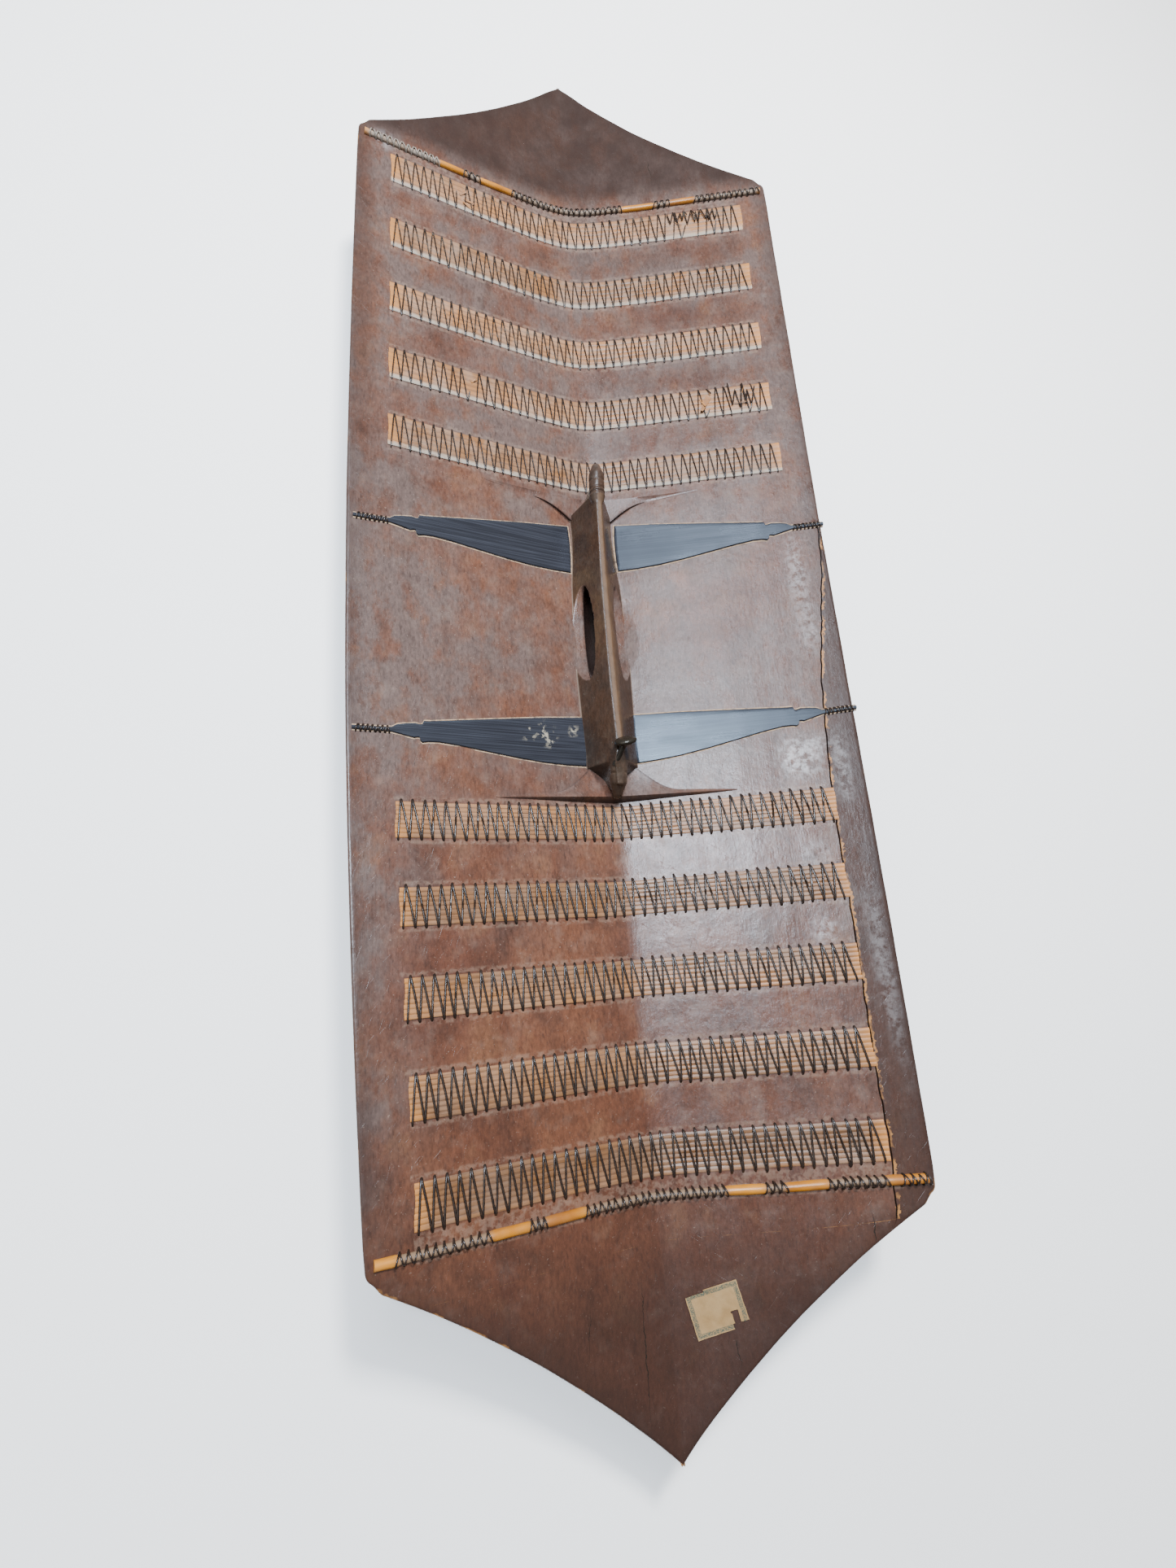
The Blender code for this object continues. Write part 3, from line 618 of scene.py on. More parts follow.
def makeHandleWood():
    # Stained by hands, with a worn ridge and dusty gum where it meets the board. The worn colour
    # reaches far over the right flank as painted light on the side toward the light.
    paint, rough, normal = startWood("handleWood", woodFinish["handleDust"])
    stained = paint.span(paint.attribute("patina"), 0.3, 0.8, 1.0, 0.15)
    paint.multiply(stained, woodLook["stained"])
    sway = paint.span(paint.noise(90.0, 4.0, 0.6), 0.3, 0.7, -0.0006, 0.0006)
    # the worn ridge; on the right flank it spreads wide as painted light
    ridge = paint.span(paint.plus(paint.attribute("edgeDistance"), sway), 0.0002, 0.0018, 0.38, 0.0)
    paint.over("wornAndLight", ridge)
    paint.over("dust", paint.times(paint.attribute("joint"), 0.75))
    return paint.finish(paint.plus(rough, paint.times(ridge, 0.7)), normal)


# Rattan, cord, cane, hardwood and paper

rattanLook = {
    "pale": (0.235, 0.124, 0.064),
    "gold": (0.265, 0.116, 0.040),
    "bright": (0.360, 0.150, 0.038),
    "brown": (0.110, 0.050, 0.025),
    "dust": (0.250, 0.175, 0.130),
    "darkened": (0.060, 0.033, 0.022),
    "strip": (0.270, 0.240, 0.200),
}
cordLook = {"dark": (0.009, 0.006, 0.005), "brown": (0.034, 0.018, 0.011),
            "dust": (0.22, 0.19, 0.16)}
caneLook = {"honey": (0.430, 0.165, 0.009), "amber": (0.230, 0.076, 0.006),
            "darkened": (0.140, 0.096, 0.064), "dust": (0.230, 0.190, 0.155)}
ebonyLook = {"black": (0.010, 0.010, 0.0135), "grey": (0.027, 0.029, 0.038),
             "pale": (0.30, 0.27, 0.21), "gum": (0.340, 0.235, 0.150), "tint": (0.72, 0.86, 1.0)}
pegLook = dict(ebonyLook, black=(0.007, 0.006, 0.0045), grey=(0.018, 0.015, 0.011),
               tint=(1, 0.95, 0.85))
paperLook = {"tan": (0.205, 0.122, 0.048), "pale": (0.255, 0.165, 0.074),
             "border": (0.045, 0.056, 0.040)}


def makeRattan():
    paint = newMaterial("rattanSplint", rattanLook)
    fibre = paint.noise(900.0, 3.0, 0.6, (0.05, 1.0, 0.05))
    blotch = paint.noise(42.0, 4.0, 0.6)
    paint.base(paint.span(blotch, 0.40, 0.62), "pale", "gold")
    paint.over("brown", fibre, 0.48, 0.72, 0.0, 0.75)
    paint.multiply(1.0, paint.span(paint.attribute("tone"), 0.0, 1.0, 0.48, 1.15))
    # painted shade in the grooves between the splints
    groove = paint.span(paint.attribute("groove"), 0.45, 1.0)
    paint.over("darkened", paint.times(groove, 0.55))
    ending = paint.span(blotch, 0.35, 0.55, 0.4, 1.0)
    paint.over("bright", paint.times(paint.attribute("ending"), ending))
    dust = paint.group(dustGroup, Amount=0.42, Scale=60.0)["Mask"]
    settled = paint.times(dust, paint.attribute("dusty"), clamp=True)
    paint.over("dust", settled)
    broken = paint.span(paint.noise(150.0, 4.0, 0.6), 0.32, 0.50, 0.35, 0.95)
    strip = paint.times(paint.attribute("strip"), broken)
    paint.over("strip", strip)
    rough = paint.span(paint.math("MAXIMUM", settled, strip), 0.0, 1.0, 0.38, 0.80)
    return paint.finish(rough, paint.bump(fibre, 0.45, 0.0004))


def makeCordMaterial(name, dustAmount, share=0.55):
    paint = newMaterial(name, cordLook)
    twist = paint.noise(1500.0, 3.0, 0.6, (1.0, 0.35, 1.0))
    paint.base(paint.span(twist, 0.45, 0.75), "dark", "brown")
    dust = paint.group(dustGroup, Amount=dustAmount, Scale=130.0)["Mask"]
    paint.over("dust", paint.times(dust, share))
    return paint.finish(paint.span(twist, 0.3, 0.8, 0.20, 0.38), paint.bump(twist, 0.25, 0.0002))


def makeCaneMaterial():
    paint = newMaterial("glossyCane", caneLook)
    fibre = paint.noise(700.0, 3.0, 0.6, (0.04, 1.0, 0.2))
    paint.base(paint.span(paint.noise(30.0, 3.0, 0.5), 0.40, 0.70), "honey", "amber")
    paint.over("amber", fibre, 0.50, 0.75, 0.0, 0.6)
    covered = paint.attribute("covered")
    # darker and greyer where the lashing covers the cane
    paint.over("darkened", paint.times(covered, 0.92))
    dust = paint.group(dustGroup, Amount=0.50, Scale=70.0)["Mask"]
    settled = paint.times(dust, paint.attribute("dusty"), clamp=True)
    paint.over("dust", settled)
    rough = paint.plus(paint.span(settled, 0.0, 1.0, 0.32, 0.65), paint.times(covered, 0.25))
    return paint.finish(rough, paint.bump(fibre, 0.3, 0.0003))


def makeEbony(name, look):
    paint = newMaterial(name, look)
    grain = paint.noise(1300.0, 3.0, 0.6, (0.010, 1.0, 0.010))
    cloud = paint.noise(60.0, 3.0, 0.5, (0.3, 1.0, 1.0))
    paint.base(paint.span(grain, 0.42, 0.70), "black", "grey")
    stain = paint.times(paint.span(paint.noise(150.0, 4.0, 0.6), 0.55, 0.61),
                        paint.attribute("stain"))
    paint.over("pale", paint.times(stain, 0.75, clamp=True))
    gum = paint.span(paint.noise(240.0, 3.0, 0.6), 0.30, 0.55, 0.25, 1.0)
    joint = paint.attribute("joint")
    paint.over("gum", paint.times(joint, gum))
    rough = paint.plus(paint.span(cloud, 0.3, 0.7, 0.24, 0.36), paint.times(joint, 0.5))
    paint.shader.inputs["Specular Tint"].default_value = (*look["tint"], 1.0)
    return paint.finish(rough, paint.bump(grain, 0.12, 0.0003))


def makePaper():
    paint = newMaterial("oldPaper", paperLook)
    paint.base(paint.span(paint.noise(70.0, 4.0, 0.6), 0.35, 0.65), "tan", "pale")
    rim = paint.attribute("rim")  # distance to the sheet's first edge
    border = paint.times(paint.span(rim, 0.0005, 0.0008),
                         paint.span(rim, 0.0032, 0.0036, 1.0, 0.0))
    speckle = paint.span(paint.noise(1300.0, 2.0), 0.42, 0.58, 0.25, 1.0)
    paint.over("border", paint.times(border, speckle))
    return paint.finish(0.85, paint.bump(paint.noise(900.0, 3.0, 0.6), 0.3, 0.0002))


boardWood = makeBoardWood()
handleWood = makeHandleWood()
rattan = makeRattan()
darkCord = makeCordMaterial("darkCord", 0.03)
dustyCord = makeCordMaterial("dustyCord", 0.32)
paleCord = makeCordMaterial("paleCord", 0.85, 0.85)
glossyCane = makeCaneMaterial()
ebony = makeEbony("darkHardwood", ebonyLook)
pegWood = makeEbony("pegHardwood", pegLook)
oldPaper = makePaper()


# Board

boardMesh = {
    "tipWear": 0.0045,  # how much of the upper tip is worn off
    "tipHalf": 0.0012,
    "columnStep": 0.0050,
    "rowStep": 0.0060,
    "fineStep": 0.0013,
    "fineHalf": 0.0380,
    "topRound": 0.0022,
    "bottomRound": 0.0030,
    "crackShare": 0.845,  # the column that follows the crack
    "crackWidth": 0.0007,
    "crackDepth": 0.0032,
    "unevenness": 0.00018,
}
farAway = 0.05  # a distance for points that no crack, row of holes or edge is near

# Where the crack runs, as x and y in millimetres from the upper right edge down
crackPath = ((213, 84), (209, 32), (192, -78), (186, -152), (183, -207), (181, -310),
             (177, -407), (176, -470), (170, -518))
crackEnd, crackStart = crackPath[-1][1] / 1000, crackPath[0][1] / 1000

# Marks, as the middle in millimetres, half size across and along, and strength
smears = (
    (163, -150, 15, 16, 1.3), (176, -140, 10, 8, 0.9), (186, 30, 8, 40, 0.6),
    (188, -20, 8, 30, 0.5), (160, -236, 12, 10, 0.5), (158, -300, 9, 10, 0.8),
    (165, -395, 8, 12, 0.8), (196, -160, 6, 30, 0.5), (198, -330, 6, 60, 0.35),
    (30, 22, 5, 3, 0.7), (-188, 480, 8, 10, 0.5),
)
rubs = (
    (-196, 395, 12, 22, 1.0), (-200, 560, 16, 26, 1.2), (200, 350, 12, 12, 0.7),
    (-190, -400, 14, 26, 1.0), (-186, -520, 20, 30, 1.3), (-130, -560, 24, 20, 0.8),
    (-60, -600, 26, 20, 0.7), (186, -500, 16, 22, 0.8), (0, 625, 20, 12, 0.6),
    (-198, 120, 12, 20, 0.6), (202, 530, 14, 20, 0.7), (20, -632, 20, 14, 0.9),
    (-208, 490, 12, 14, 1.3), (200, -500, 12, 12, 1.1),
)
browned = (  # with little of the grey patina
    (0, 414, 46, 13, 0.7), (88, 414, 70, 13, 0.95), (160, 416, 30, 13, 0.8),
    (104, 339, 74, 13, 0.95), (16, 339, 40, 10, 0.4), (98, 266, 74, 13, 0.9),
    (100, 195, 70, 11, 0.45), (-206, 240, 9, 200, 1.0), (-100, 339, 40, 11, 0.35),
    (168, 14, 30, 26, 0.8), (122, -18, 16, 16, 0.9),
)


def boardColumns():
    # Shares of the half width, closer in the valley, at the crack and at the edges
    half = form["middleWidth"] / 2
    step = boardMesh["columnStep"] / half
    fineHalf = boardMesh["fineHalf"] / half
    inner = np.concatenate([np.arange(0.0, fineHalf, boardMesh["fineStep"] / half),
                            np.arange(fineHalf, 0.955, step)])
    crack = boardMesh["crackShare"]
    width = boardMesh["crackWidth"] / half
    inner = inner[np.abs(inner - crack) > 0.6 * step]
    fine = [crack - width, crack, crack + width,
            0.968, 0.980, 0.989, 0.9945, 0.9975, 0.9992, 1.0]
    right = np.sort(np.concatenate([inner, fine]))
    return np.concatenate([-right[:0:-1], right])


def boardRows():
    # Places along the board, closer at the slot, the shoulders and the tips, and on every
    # row of holes
    half = form["length"] / 2
    exact = holeRows()
    rows = [np.arange(-half, half, boardMesh["rowStep"]), exact,
            np.arange(slot["along"] - 0.060, slot["along"] + 0.060, 0.0026),
            [half, -half + 0.0015, half - 0.0015, half - 0.003]]
    for shoulder in (form["upperShoulder"], -form["lowerShoulder"]):
        rows.append(shoulder + np.linspace(-0.012, 0.006, 13))
    rows = np.sort(np.concatenate(rows))
    keep = [rows[0]]
    for value in rows[1:]:
        if value in exact and keep[-1] not in exact and value - keep[-1] < 0.0015:
            keep[-1] = value
        elif value - keep[-1] > 0.0011:
            keep.append(value)
    keep[-1] = half
    return np.array(keep)


def crackPlace(y):
    points = np.array(crackPath[::-1], dtype=float) / 1000
    place = np.interp(y, points[:, 1], points[:, 0])
    return place + 0.0006 * wave(y, 3, 0.023, 0.009, 0.061)


def crackOpening(y):
    start = unit((y - crackEnd) / 0.02) * unit((crackStart - y) / 0.01)
    return start * (0.75 + 0.35 * wave(y, 5, 0.08, 0.031))


def alongCrack(y):
    return (y > crackEnd) & (y < crackStart)


def warpedShare(share, y):
    # Pulls the columns on the right so that three of them follow the crack
    rest = boardMesh["crackShare"]
    right = outlineHalf(y) + outlineLean(y)
    target = np.clip(crackPlace(y) / right, 0.5, 0.985)
    follow = unit((y - crackEnd) / 0.03 + 1) * unit((crackStart - y) / 0.05 + 1)
    target = rest + (target - rest) * follow
    inside = share * target / rest
    outside = target + (share - rest) * (1 - target) / (1 - rest)
    return np.where(share <= 0, share, np.where(share <= rest, inside, outside))


def distanceToOutline(x, y):
    # Distance to the outline, from a closed line of its points
    along = np.concatenate([upperAlong, lowerAlong[::-1] * -1])
    across = np.concatenate([upperAcross, lowerAcross[::-1]])
    best = np.full(len(x), 10.0)
    for side in (-1, 1):
        line = list(zip(side * across + outlineLean(along), along))
        for (ax, ay), (bx, by) in zip(line, line[1:]):
            long = (bx - ax) ** 2 + (by - ay) ** 2
            if long < 1e-12 or abs(by - ay) > 0.5:
                continue
            share = unit(((x - ax) * (bx - ax) + (y - ay) * (by - ay)) / long)
            gap = np.hypot(x - ax - share * (bx - ax), y - ay - share * (by - ay))
            best = np.minimum(best, gap)
    return best


def rounding(distance, radius):
    inside = np.clip(radius - distance, 0, radius)
    return radius - np.sqrt(np.maximum(radius ** 2 - inside ** 2, 0.0))


def spotsAt(x, y, spots):
    total = np.zeros(len(x))
    for middleX, middleY, halfX, halfY, strength in spots:
        gap = np.hypot((x - middleX / 1000) * 1000 / halfX, (y - middleY / 1000) * 1000 / halfY)
        total = np.maximum(total, strength * unit(1.5 - gap))
    return total


def shadeAt(x, y, z):
    # Darker at both ends, beyond the crack and in the browned stretches, and painted shade in the slot
    # under the grip
    lowerEnd = np.interp(y, (-0.56, -0.48, -0.40, -0.26), (0.80, 0.24, 0.12, 0.0))
    upperEnd = 0.92 * unit((y - 0.485) / 0.02)
    # painted shade deep in the slot, where the grip keeps the light out
    deep = unit((innerPlain(x, y) - z - 0.0045) / 0.003)
    deep = np.where(np.abs(y - slot["along"]) < slot["y"], deep, 0.0)
    beyond = (x > crackPlace(y)) & alongCrack(y)
    brown = 0.30 * spotsAt(x, y, browned)
    return np.maximum.reduce([lowerEnd, upperEnd, 0.97 * deep, 0.72 * beyond, brown])


def patinaAt(x, y):
    # The grey patina, strong in the middle and along the sides and weak below
    along = np.interp(y, (-0.65, -0.45, -0.33, -0.20, -0.12, 0.15, 0.50, 0.65),
                      (0.05, 0.12, 0.20, 0.42, 0.85, 0.95, 1.00, 0.80))
    side = unit((np.abs(x) - 0.15) / 0.05) * unit((0.50 - np.abs(y)) / 0.1)
    inBowl = np.sqrt(np.maximum(1 - bowlSpan(x, y), 0))
    plain = np.minimum(along + 0.65 * side + 0.12 * np.sign(x), 1.0)
    return plain * (1 - 0.45 * np.minimum(spotsAt(x, y, browned), 1)) + 0.6 * inBowl


def makeBoard():
    columns = boardColumns()
    rows = boardRows()
    piece, column, row = gridPiece("board", len(columns) - 1, len(rows) - 1)
    y = rows[row]
    share = warpedShare(columns[column], y)
    half = np.maximum(outlineHalf(y), boardMesh["tipHalf"])
    lean = outlineLean(y)
    x = np.where(share > 0, share * (half + lean), share * (half - lean))
    z = innerPlain(x, y) - bowl["deep"] * np.maximum(1 - bowlSpan(x, y), 0) ** 1.3
    z = np.minimum(z, slotFloor(x, y))
    uneven = boardMesh["unevenness"]
    z += uneven * wave(x, 1, 0.061, 0.024) + uneven * wave(y, 2, 0.083, 0.035)
    z -= rounding(distanceToOutline(x, y), boardMesh["topRound"])
    onCrack = np.abs(columns[column] - boardMesh["crackShare"]) < 1e-6
    z -= np.where(onCrack, boardMesh["crackDepth"] * crackOpening(y), 0.0)
    tipWear = unit(1 - np.abs(x) / 0.018) ** 1.5 * unit((y - 0.60) / 0.05)
    setPoints(piece, x, y - boardMesh["tipWear"] * tipWear, z)
    thicken(piece, lambda x, y: outerPlain(x, y) + rounding(distanceToOutline(x, y),
                                                            boardMesh["bottomRound"]))
    x, y, z = pointsOf(piece).T
    toRow = np.abs(y[:, None] - holeRows()[None, :]).min(axis=1)
    nearBand = np.abs(x) < np.interp(np.abs(y), (0.16, 0.45), (0.19, 0.18))
    addAttributes(piece, edgeDistance=distanceToOutline(x, y),
                  stitchRow=np.where(nearBand, toRow, farAway),
                  crackDistance=np.where(alongCrack(y), x - crackPlace(y), farAway),
                  smear=spotsAt(x, y, smears), rubbed=spotsAt(x, y, rubs),
                  shade=shadeAt(x, y, z), patina=patinaAt(x, y))
    dress(piece, boardWood, "shield_board", 40)
    print("board made,", len(piece.data.polygons), "faces")


# Crests, the low carved ridges above and below the handle

crests = {
    # name: line at the valley and its bend, direction of the steep face, height, width of the
    # steep face, width of the web at the handle, its arc's ends, its width beyond, its lip
    "upperCrest": dict(line=0.1305, bend=0.0030, face=1, height=0.0052, steep=0.0030,
                       webWide=0.0235, arcFrom=0.020, arcTo=0.056, webEnd=0.0050, lip=0.0034),
    "lowerCrest": dict(line=-0.1722, bend=-0.0015, face=-1, height=0.0092, steep=0.0042,
                       webWide=0.0265, arcFrom=0.022, arcTo=0.056, webEnd=0.0045, lip=0.0030),
}
crestMesh = {"half": 0.106, "columns": 120, "webRows": 7, "root": 0.0050}


def makeCrest(name, line, bend, face, height, steep, webWide, arcFrom, arcTo, webEnd, lip):
    # Rows: foot of the steep face under the wood, its foot, the edge, the web, its lip's foot
    long, webRows = crestMesh["half"], crestMesh["webRows"]
    middle = crestMesh["columns"] // 2
    rows = webRows + 4
    piece, column, row = gridPiece(name, crestMesh["columns"], rows)
    x = long * (column / middle - 1)
    share = np.abs(x) / long
    ridge = 0.0004 + height * np.maximum(1 - share, 0) ** 1.25
    steepWidth = 0.0003 + steep * np.maximum(1 - share, 0) ** 0.7
    turn = unit((np.abs(x) - arcFrom) / (arcTo - arcFrom))
    web = webEnd + (webWide - webEnd) * (1 - turn) ** 1.7
    web = np.where(np.abs(x) > arcTo,
                   webEnd * (1 - 0.8 * (np.abs(x) - arcTo) / (long - arcTo)), web)
    lipHeight = lip * np.clip((arcTo + 0.002 - np.abs(x)) / 0.026, 0.05, 1)
    lipHeight = np.minimum(lipHeight, 0.8 * ridge)
    edge = line + bend * (x / 0.1) ** 2
    inward = unit((row - 2) / webRows)
    y = edge - face * web * inward
    lift = lipHeight + (ridge - lipHeight) * (1 - inward) ** 1.8
    y = np.where(row == 1, edge + face * steepWidth, y)
    y = np.where(row == 0, edge + face * (steepWidth + 0.0002), y)
    last = row == rows
    y = np.where(last, edge - face * (web + 0.0003), y)
    y = np.where(row == rows - 1, edge - face * web, y)
    lift = np.where(row == 1, -0.0004, np.where((row == 0) | last, -0.0030, lift))
    setPoints(piece, x, y, innerPlain(x, y) + lift)
    thicken(piece, lambda x, y: innerPlain(x, y) - crestMesh["root"])
    right = np.flatnonzero(x >= 0)[:middle + 1]
    x, y, _ = pointsOf(piece).T
    beyond = face * (y - line - bend * (x / 0.1) ** 2)
    reach = np.interp(np.abs(x), long * np.arange(middle + 1) / middle, web[right])
    # painted shade on the steep face, strong on the lower crest whose face turns away from the light,
    # and painted shadow under the lip along the arcs
    steepShade = unit((beyond - 0.0002) / 0.0006) * (0.95 if face < 0 else 0.25)
    lipShade = unit((-beyond - reach + 0.0003) / 0.0003) * 0.8
    inArc = (np.abs(x) > arcFrom - 0.004) & (np.abs(x) < arcTo)
    addAttributes(piece, edgeDistance=farAway, crackDistance=farAway, stitchRow=farAway,
                  shade=np.maximum(steepShade, lipShade * inArc), patina=patinaAt(x, y))
    dress(piece, boardWood, "shield_board", 32)


# Handle

handleForm = {
    # place along Y, half width at the foot, ridge above the valley, half width of the ridge
    "stations": ((0.1300, 0.0040, 0.0440, 0.0026), (0.1220, 0.0085, 0.0475, 0.0026),
                 (0.1160, 0.0150, 0.0478, 0.0020), (0.1120, 0.0226, 0.0475, 0.0014),
                 (0.1040, 0.0222, 0.0468, 0.0009), (0.0900, 0.0218, 0.0452, 0.0007),
                 (0.0600, 0.0236, 0.0418, 0.0006), (0.0370, 0.0262, 0.0396, 0.0006),
                 (0.0000, 0.0276, 0.0381, 0.0006), (-0.0500, 0.0288, 0.0380, 0.0006),
                 (-0.0750, 0.0280, 0.0384, 0.0006), (-0.1000, 0.0274, 0.0394, 0.0006),
                 (-0.1300, 0.0262, 0.0420, 0.0008), (-0.1400, 0.0262, 0.0422, 0.0012),
                 (-0.1460, 0.0262, 0.0405, 0.0022), (-0.1500, 0.0180, 0.0385, 0.0028),
                 (-0.1560, 0.0100, 0.0360, 0.0028), (-0.1660, 0.0055, 0.0330, 0.0026)),
    "places": 100,
    "around": 24,  # points from the left foot over the ridge to the right foot
    "root": 0.004,
    "flankPower": 0.98,
    "voxel": 0.0008,
    "smooth": 5,
    "smoothLips": 14,
    "grip": (-0.1400, 0.1100),  # where the ridge is worn
}

beaks = {
    # name: where its root lies, direction, length, top at the root, climb and its bend,
    # radius at the root and at the tip
    "upperBeak": dict(root=0.1120, way=1, reach=0.0290, top=0.0690, climb=0.16, hook=0.0,
                      thick=0.0078, tip=0.0040),
    "lowerBeak": dict(root=-0.1420, way=-1, reach=0.0330, top=0.0578, climb=-0.10, hook=-11.0,
                      thick=0.0084, tip=0.0041),
}


def turnPiece(name, profile, sides):
    # Starts from a filled circle and extrudes it from ring to ring along Z
    bpy.ops.object.select_all(action="DESELECT")
    first, radius = profile[0]
    bpy.ops.mesh.primitive_circle_add(vertices=sides, radius=radius, fill_type="NGON",
                                      location=(0, 0, first))
    piece = bpy.context.object
    piece.name = piece.data.name = name
    bpy.ops.object.transform_apply(location=True)

    def extrudeRings():
        height, wide = profile[0]
        for nextHeight, nextWide in profile[1:]:
            bpy.ops.mesh.extrude_region_move(
                TRANSFORM_OT_translate={"value": (0, 0, nextHeight - height)})
            scale = nextWide / wide
            bpy.ops.transform.resize(value=(scale, scale, 1),
                                     center_override=(0, 0, nextHeight))
            height, wide = nextHeight, nextWide

    inEditMode(piece, extrudeRings)
    faceOutward(piece)
    return piece


def makeBeak(name, root, way, reach, top, climb, hook, thick, tip):
    # Ring grooves at the root and halfway, as (place, radius)
    profile = [(-0.012, 0.5 * thick), (-0.003, 0.92 * thick), (-0.0016, thick),
               (-0.0004, 0.84 * thick), (0.0006, 0.84 * thick), (0.0016, thick),
               (0.0028, 0.98 * thick), (0.0036, 0.84 * thick), (0.0046, 0.84 * thick),
               (0.0056, 0.95 * thick), (0.38 * reach, 0.95 * thick), (0.40 * reach, 0.86 * thick),
               (0.43 * reach, 0.86 * thick), (0.45 * reach, 0.96 * thick),
               (0.66 * reach, 0.92 * thick), (0.82 * reach, 1.30 * tip), (0.95 * reach, tip),
               (reach, 0.55 * tip)]
    piece = turnPiece(name, profile, 24)
    x, across, along = pointsOf(piece).T
    height = top - thick + climb * along + hook * np.maximum(along, 0) ** 2 - across
    setPoints(piece, x, root + way * along, height)
    return piece


def makeTunnel():
    # Runs across the handle, oval at the flanks and straight down over the slot
    well, half, along = hollow["well"], hollow["half"], hollow["along"]
    stops = (-0.05, -well - 0.001, -well, well, well + 0.001, 0.05)
    piece = turnPiece("fingerTunnel", [(stop, 1.0) for stop in stops], 48)
    cosine, sine, x = pointsOf(piece).T
    low = hollow["low"] - hollow["lean"] * cosine
    y = along + half * cosine
    z = hollow["middle"] + np.where(sine > 0, hollow["top"] * np.maximum(sine, 0) ** 0.9,
                                    low * sine)
    over = (np.abs(x) < well + 0.0005) & (sine < 0)
    y = np.where(over, along + 0.985 * half * np.sign(cosine)
                 * np.minimum(np.abs(cosine) * 12, 1), y)
    z = np.where(over, hollow["middle"] + 0.032 * sine, z)
    setPoints(piece, x, y, z)
    faceOutward(piece)
    return piece


def booleanOf(piece, tool, operation):
    modifier = piece.modifiers.new(tool.name, "BOOLEAN")
    modifier.operation = operation
    modifier.solver = "EXACT"
    modifier.object = tool
    applyModifiers(piece)
    bpy.data.objects.remove(tool)


def handleBody(stations):
    places = np.linspace(stations[0, 0], stations[-1, 0], handleForm["places"])
    around = handleForm["around"]
    piece, column, row = gridPiece("handle", around, len(places) - 1)
    y = places[row]
    half, ridge, spine = (np.interp(y, stations[:, 0], stations[:, k]) for k in (1, 2, 3))
    side = column / around * 2 - 1
    climb = 1 - np.abs(side)
    x = np.sign(side) * (spine + (half - spine) * (1 - climb ** handleForm["flankPower"]))
    x = np.where(column == around // 2, 0.0, x)
    foot = innerPlain(half, y) - handleForm["root"]
    crown = form["valley"] + ridge
    setPoints(piece, x, y, foot + (crown - foot) * np.minimum(climb * around / (around - 2), 1.0))
    thicken(piece, lambda x, y: np.full(len(x), form["valley"] - 0.002))
    return piece


def softenHandle(piece):
    remesh = piece.modifiers.new("voxels", "REMESH")
    remesh.mode = "VOXEL"
    remesh.voxel_size = handleForm["voxel"]
    remesh.use_smooth_shade = True
    applyModifiers(piece)
    x, y, z = pointsOf(piece).T
    heights = z - hollow["middle"]
    gap = np.hypot((y - hollow["along"]) / hollow["half"],
                   heights / np.where(heights > 0, hollow["top"], hollow["low"]))
    near = np.flatnonzero((gap < 1.25) & (np.abs(x) > 0.006))
    piece.vertex_groups.new(name="lips").add(near.tolist(), 1.0, "REPLACE")
    for name, group, times in (("wornSoft", "", handleForm["smooth"]),
                               ("roundLips", "lips", handleForm["smoothLips"])):
        smooth = piece.modifiers.new(name, "SMOOTH")
        smooth.factor = 0.5
        smooth.iterations = times
        smooth.vertex_group = group
    applyModifiers(piece)


def makeHandle():
    stations = np.array(handleForm["stations"])[::-1]
    piece = handleBody(stations)
    booleanOf(piece, makeTunnel(), "DIFFERENCE")
    for name, values in beaks.items():
        booleanOf(piece, makeBeak(name, **values), "UNION")
    softenHandle(piece)
    points = pointsOf(piece)
    x, y, z = points.T
    ridge = form["valley"] + np.interp(y, stations[:, 0], stations[:, 2])
    # the right flank counts as near the ridge far out, so the worn colour there also lightens the side
    # toward the light as painted light
    toRidge = np.hypot(x, np.minimum(z - ridge, 0)) * np.where(x > 0, 0.16, 1)
    onGrip = (y > handleForm["grip"][0]) & (y < handleForm["grip"][1])
    normals = np.empty(3 * len(points))
    piece.data.vertex_normals.foreach_get("vector", normals)
    normals = normals.reshape(-1, 3)
    outward = ((points - (0, hollow["along"], hollow["middle"])) * normals).sum(axis=1)
    inside = (outward < 0.0005) & (np.abs(y - hollow["along"]) < hollow["half"] + 0.003)
    above = z - innerPlain(x, y)
    # painted shade on the lower end's faces that turn away from the light
    facingDown = np.clip(-normals[:, 1] - 0.25, 0, 0.4) / 0.4
    endFaceShade = 0.8 * facingDown * (y < -0.143) * (np.abs(x) > 0.0080)
    # painted shade inside the tunnel over the slot
    deep = np.where(np.abs(x) < hollow["well"] + 0.002, 0.97, 0.0)
    addAttributes(piece, edgeDistance=np.where(onGrip, toRidge, farAway),
                  joint=np.where(inside, 0, unit(1.5 - above / 0.0012)),
                  shade=np.where(inside, deep, endFaceShade), patina=np.where(inside, 0.85, 0.25))
    dress(piece, handleWood, "shield_board")
    print("handle made,", len(piece.data.polygons), "faces")


# Peg with a round knob

pegForm = {"place": (-0.0029, -0.1468, 0.0550), "points": (0.333, 0.738, 0.588),
           "stem": 0.0024, "knob": 0.0084, "length": 0.0225, "tilt": -0.50}


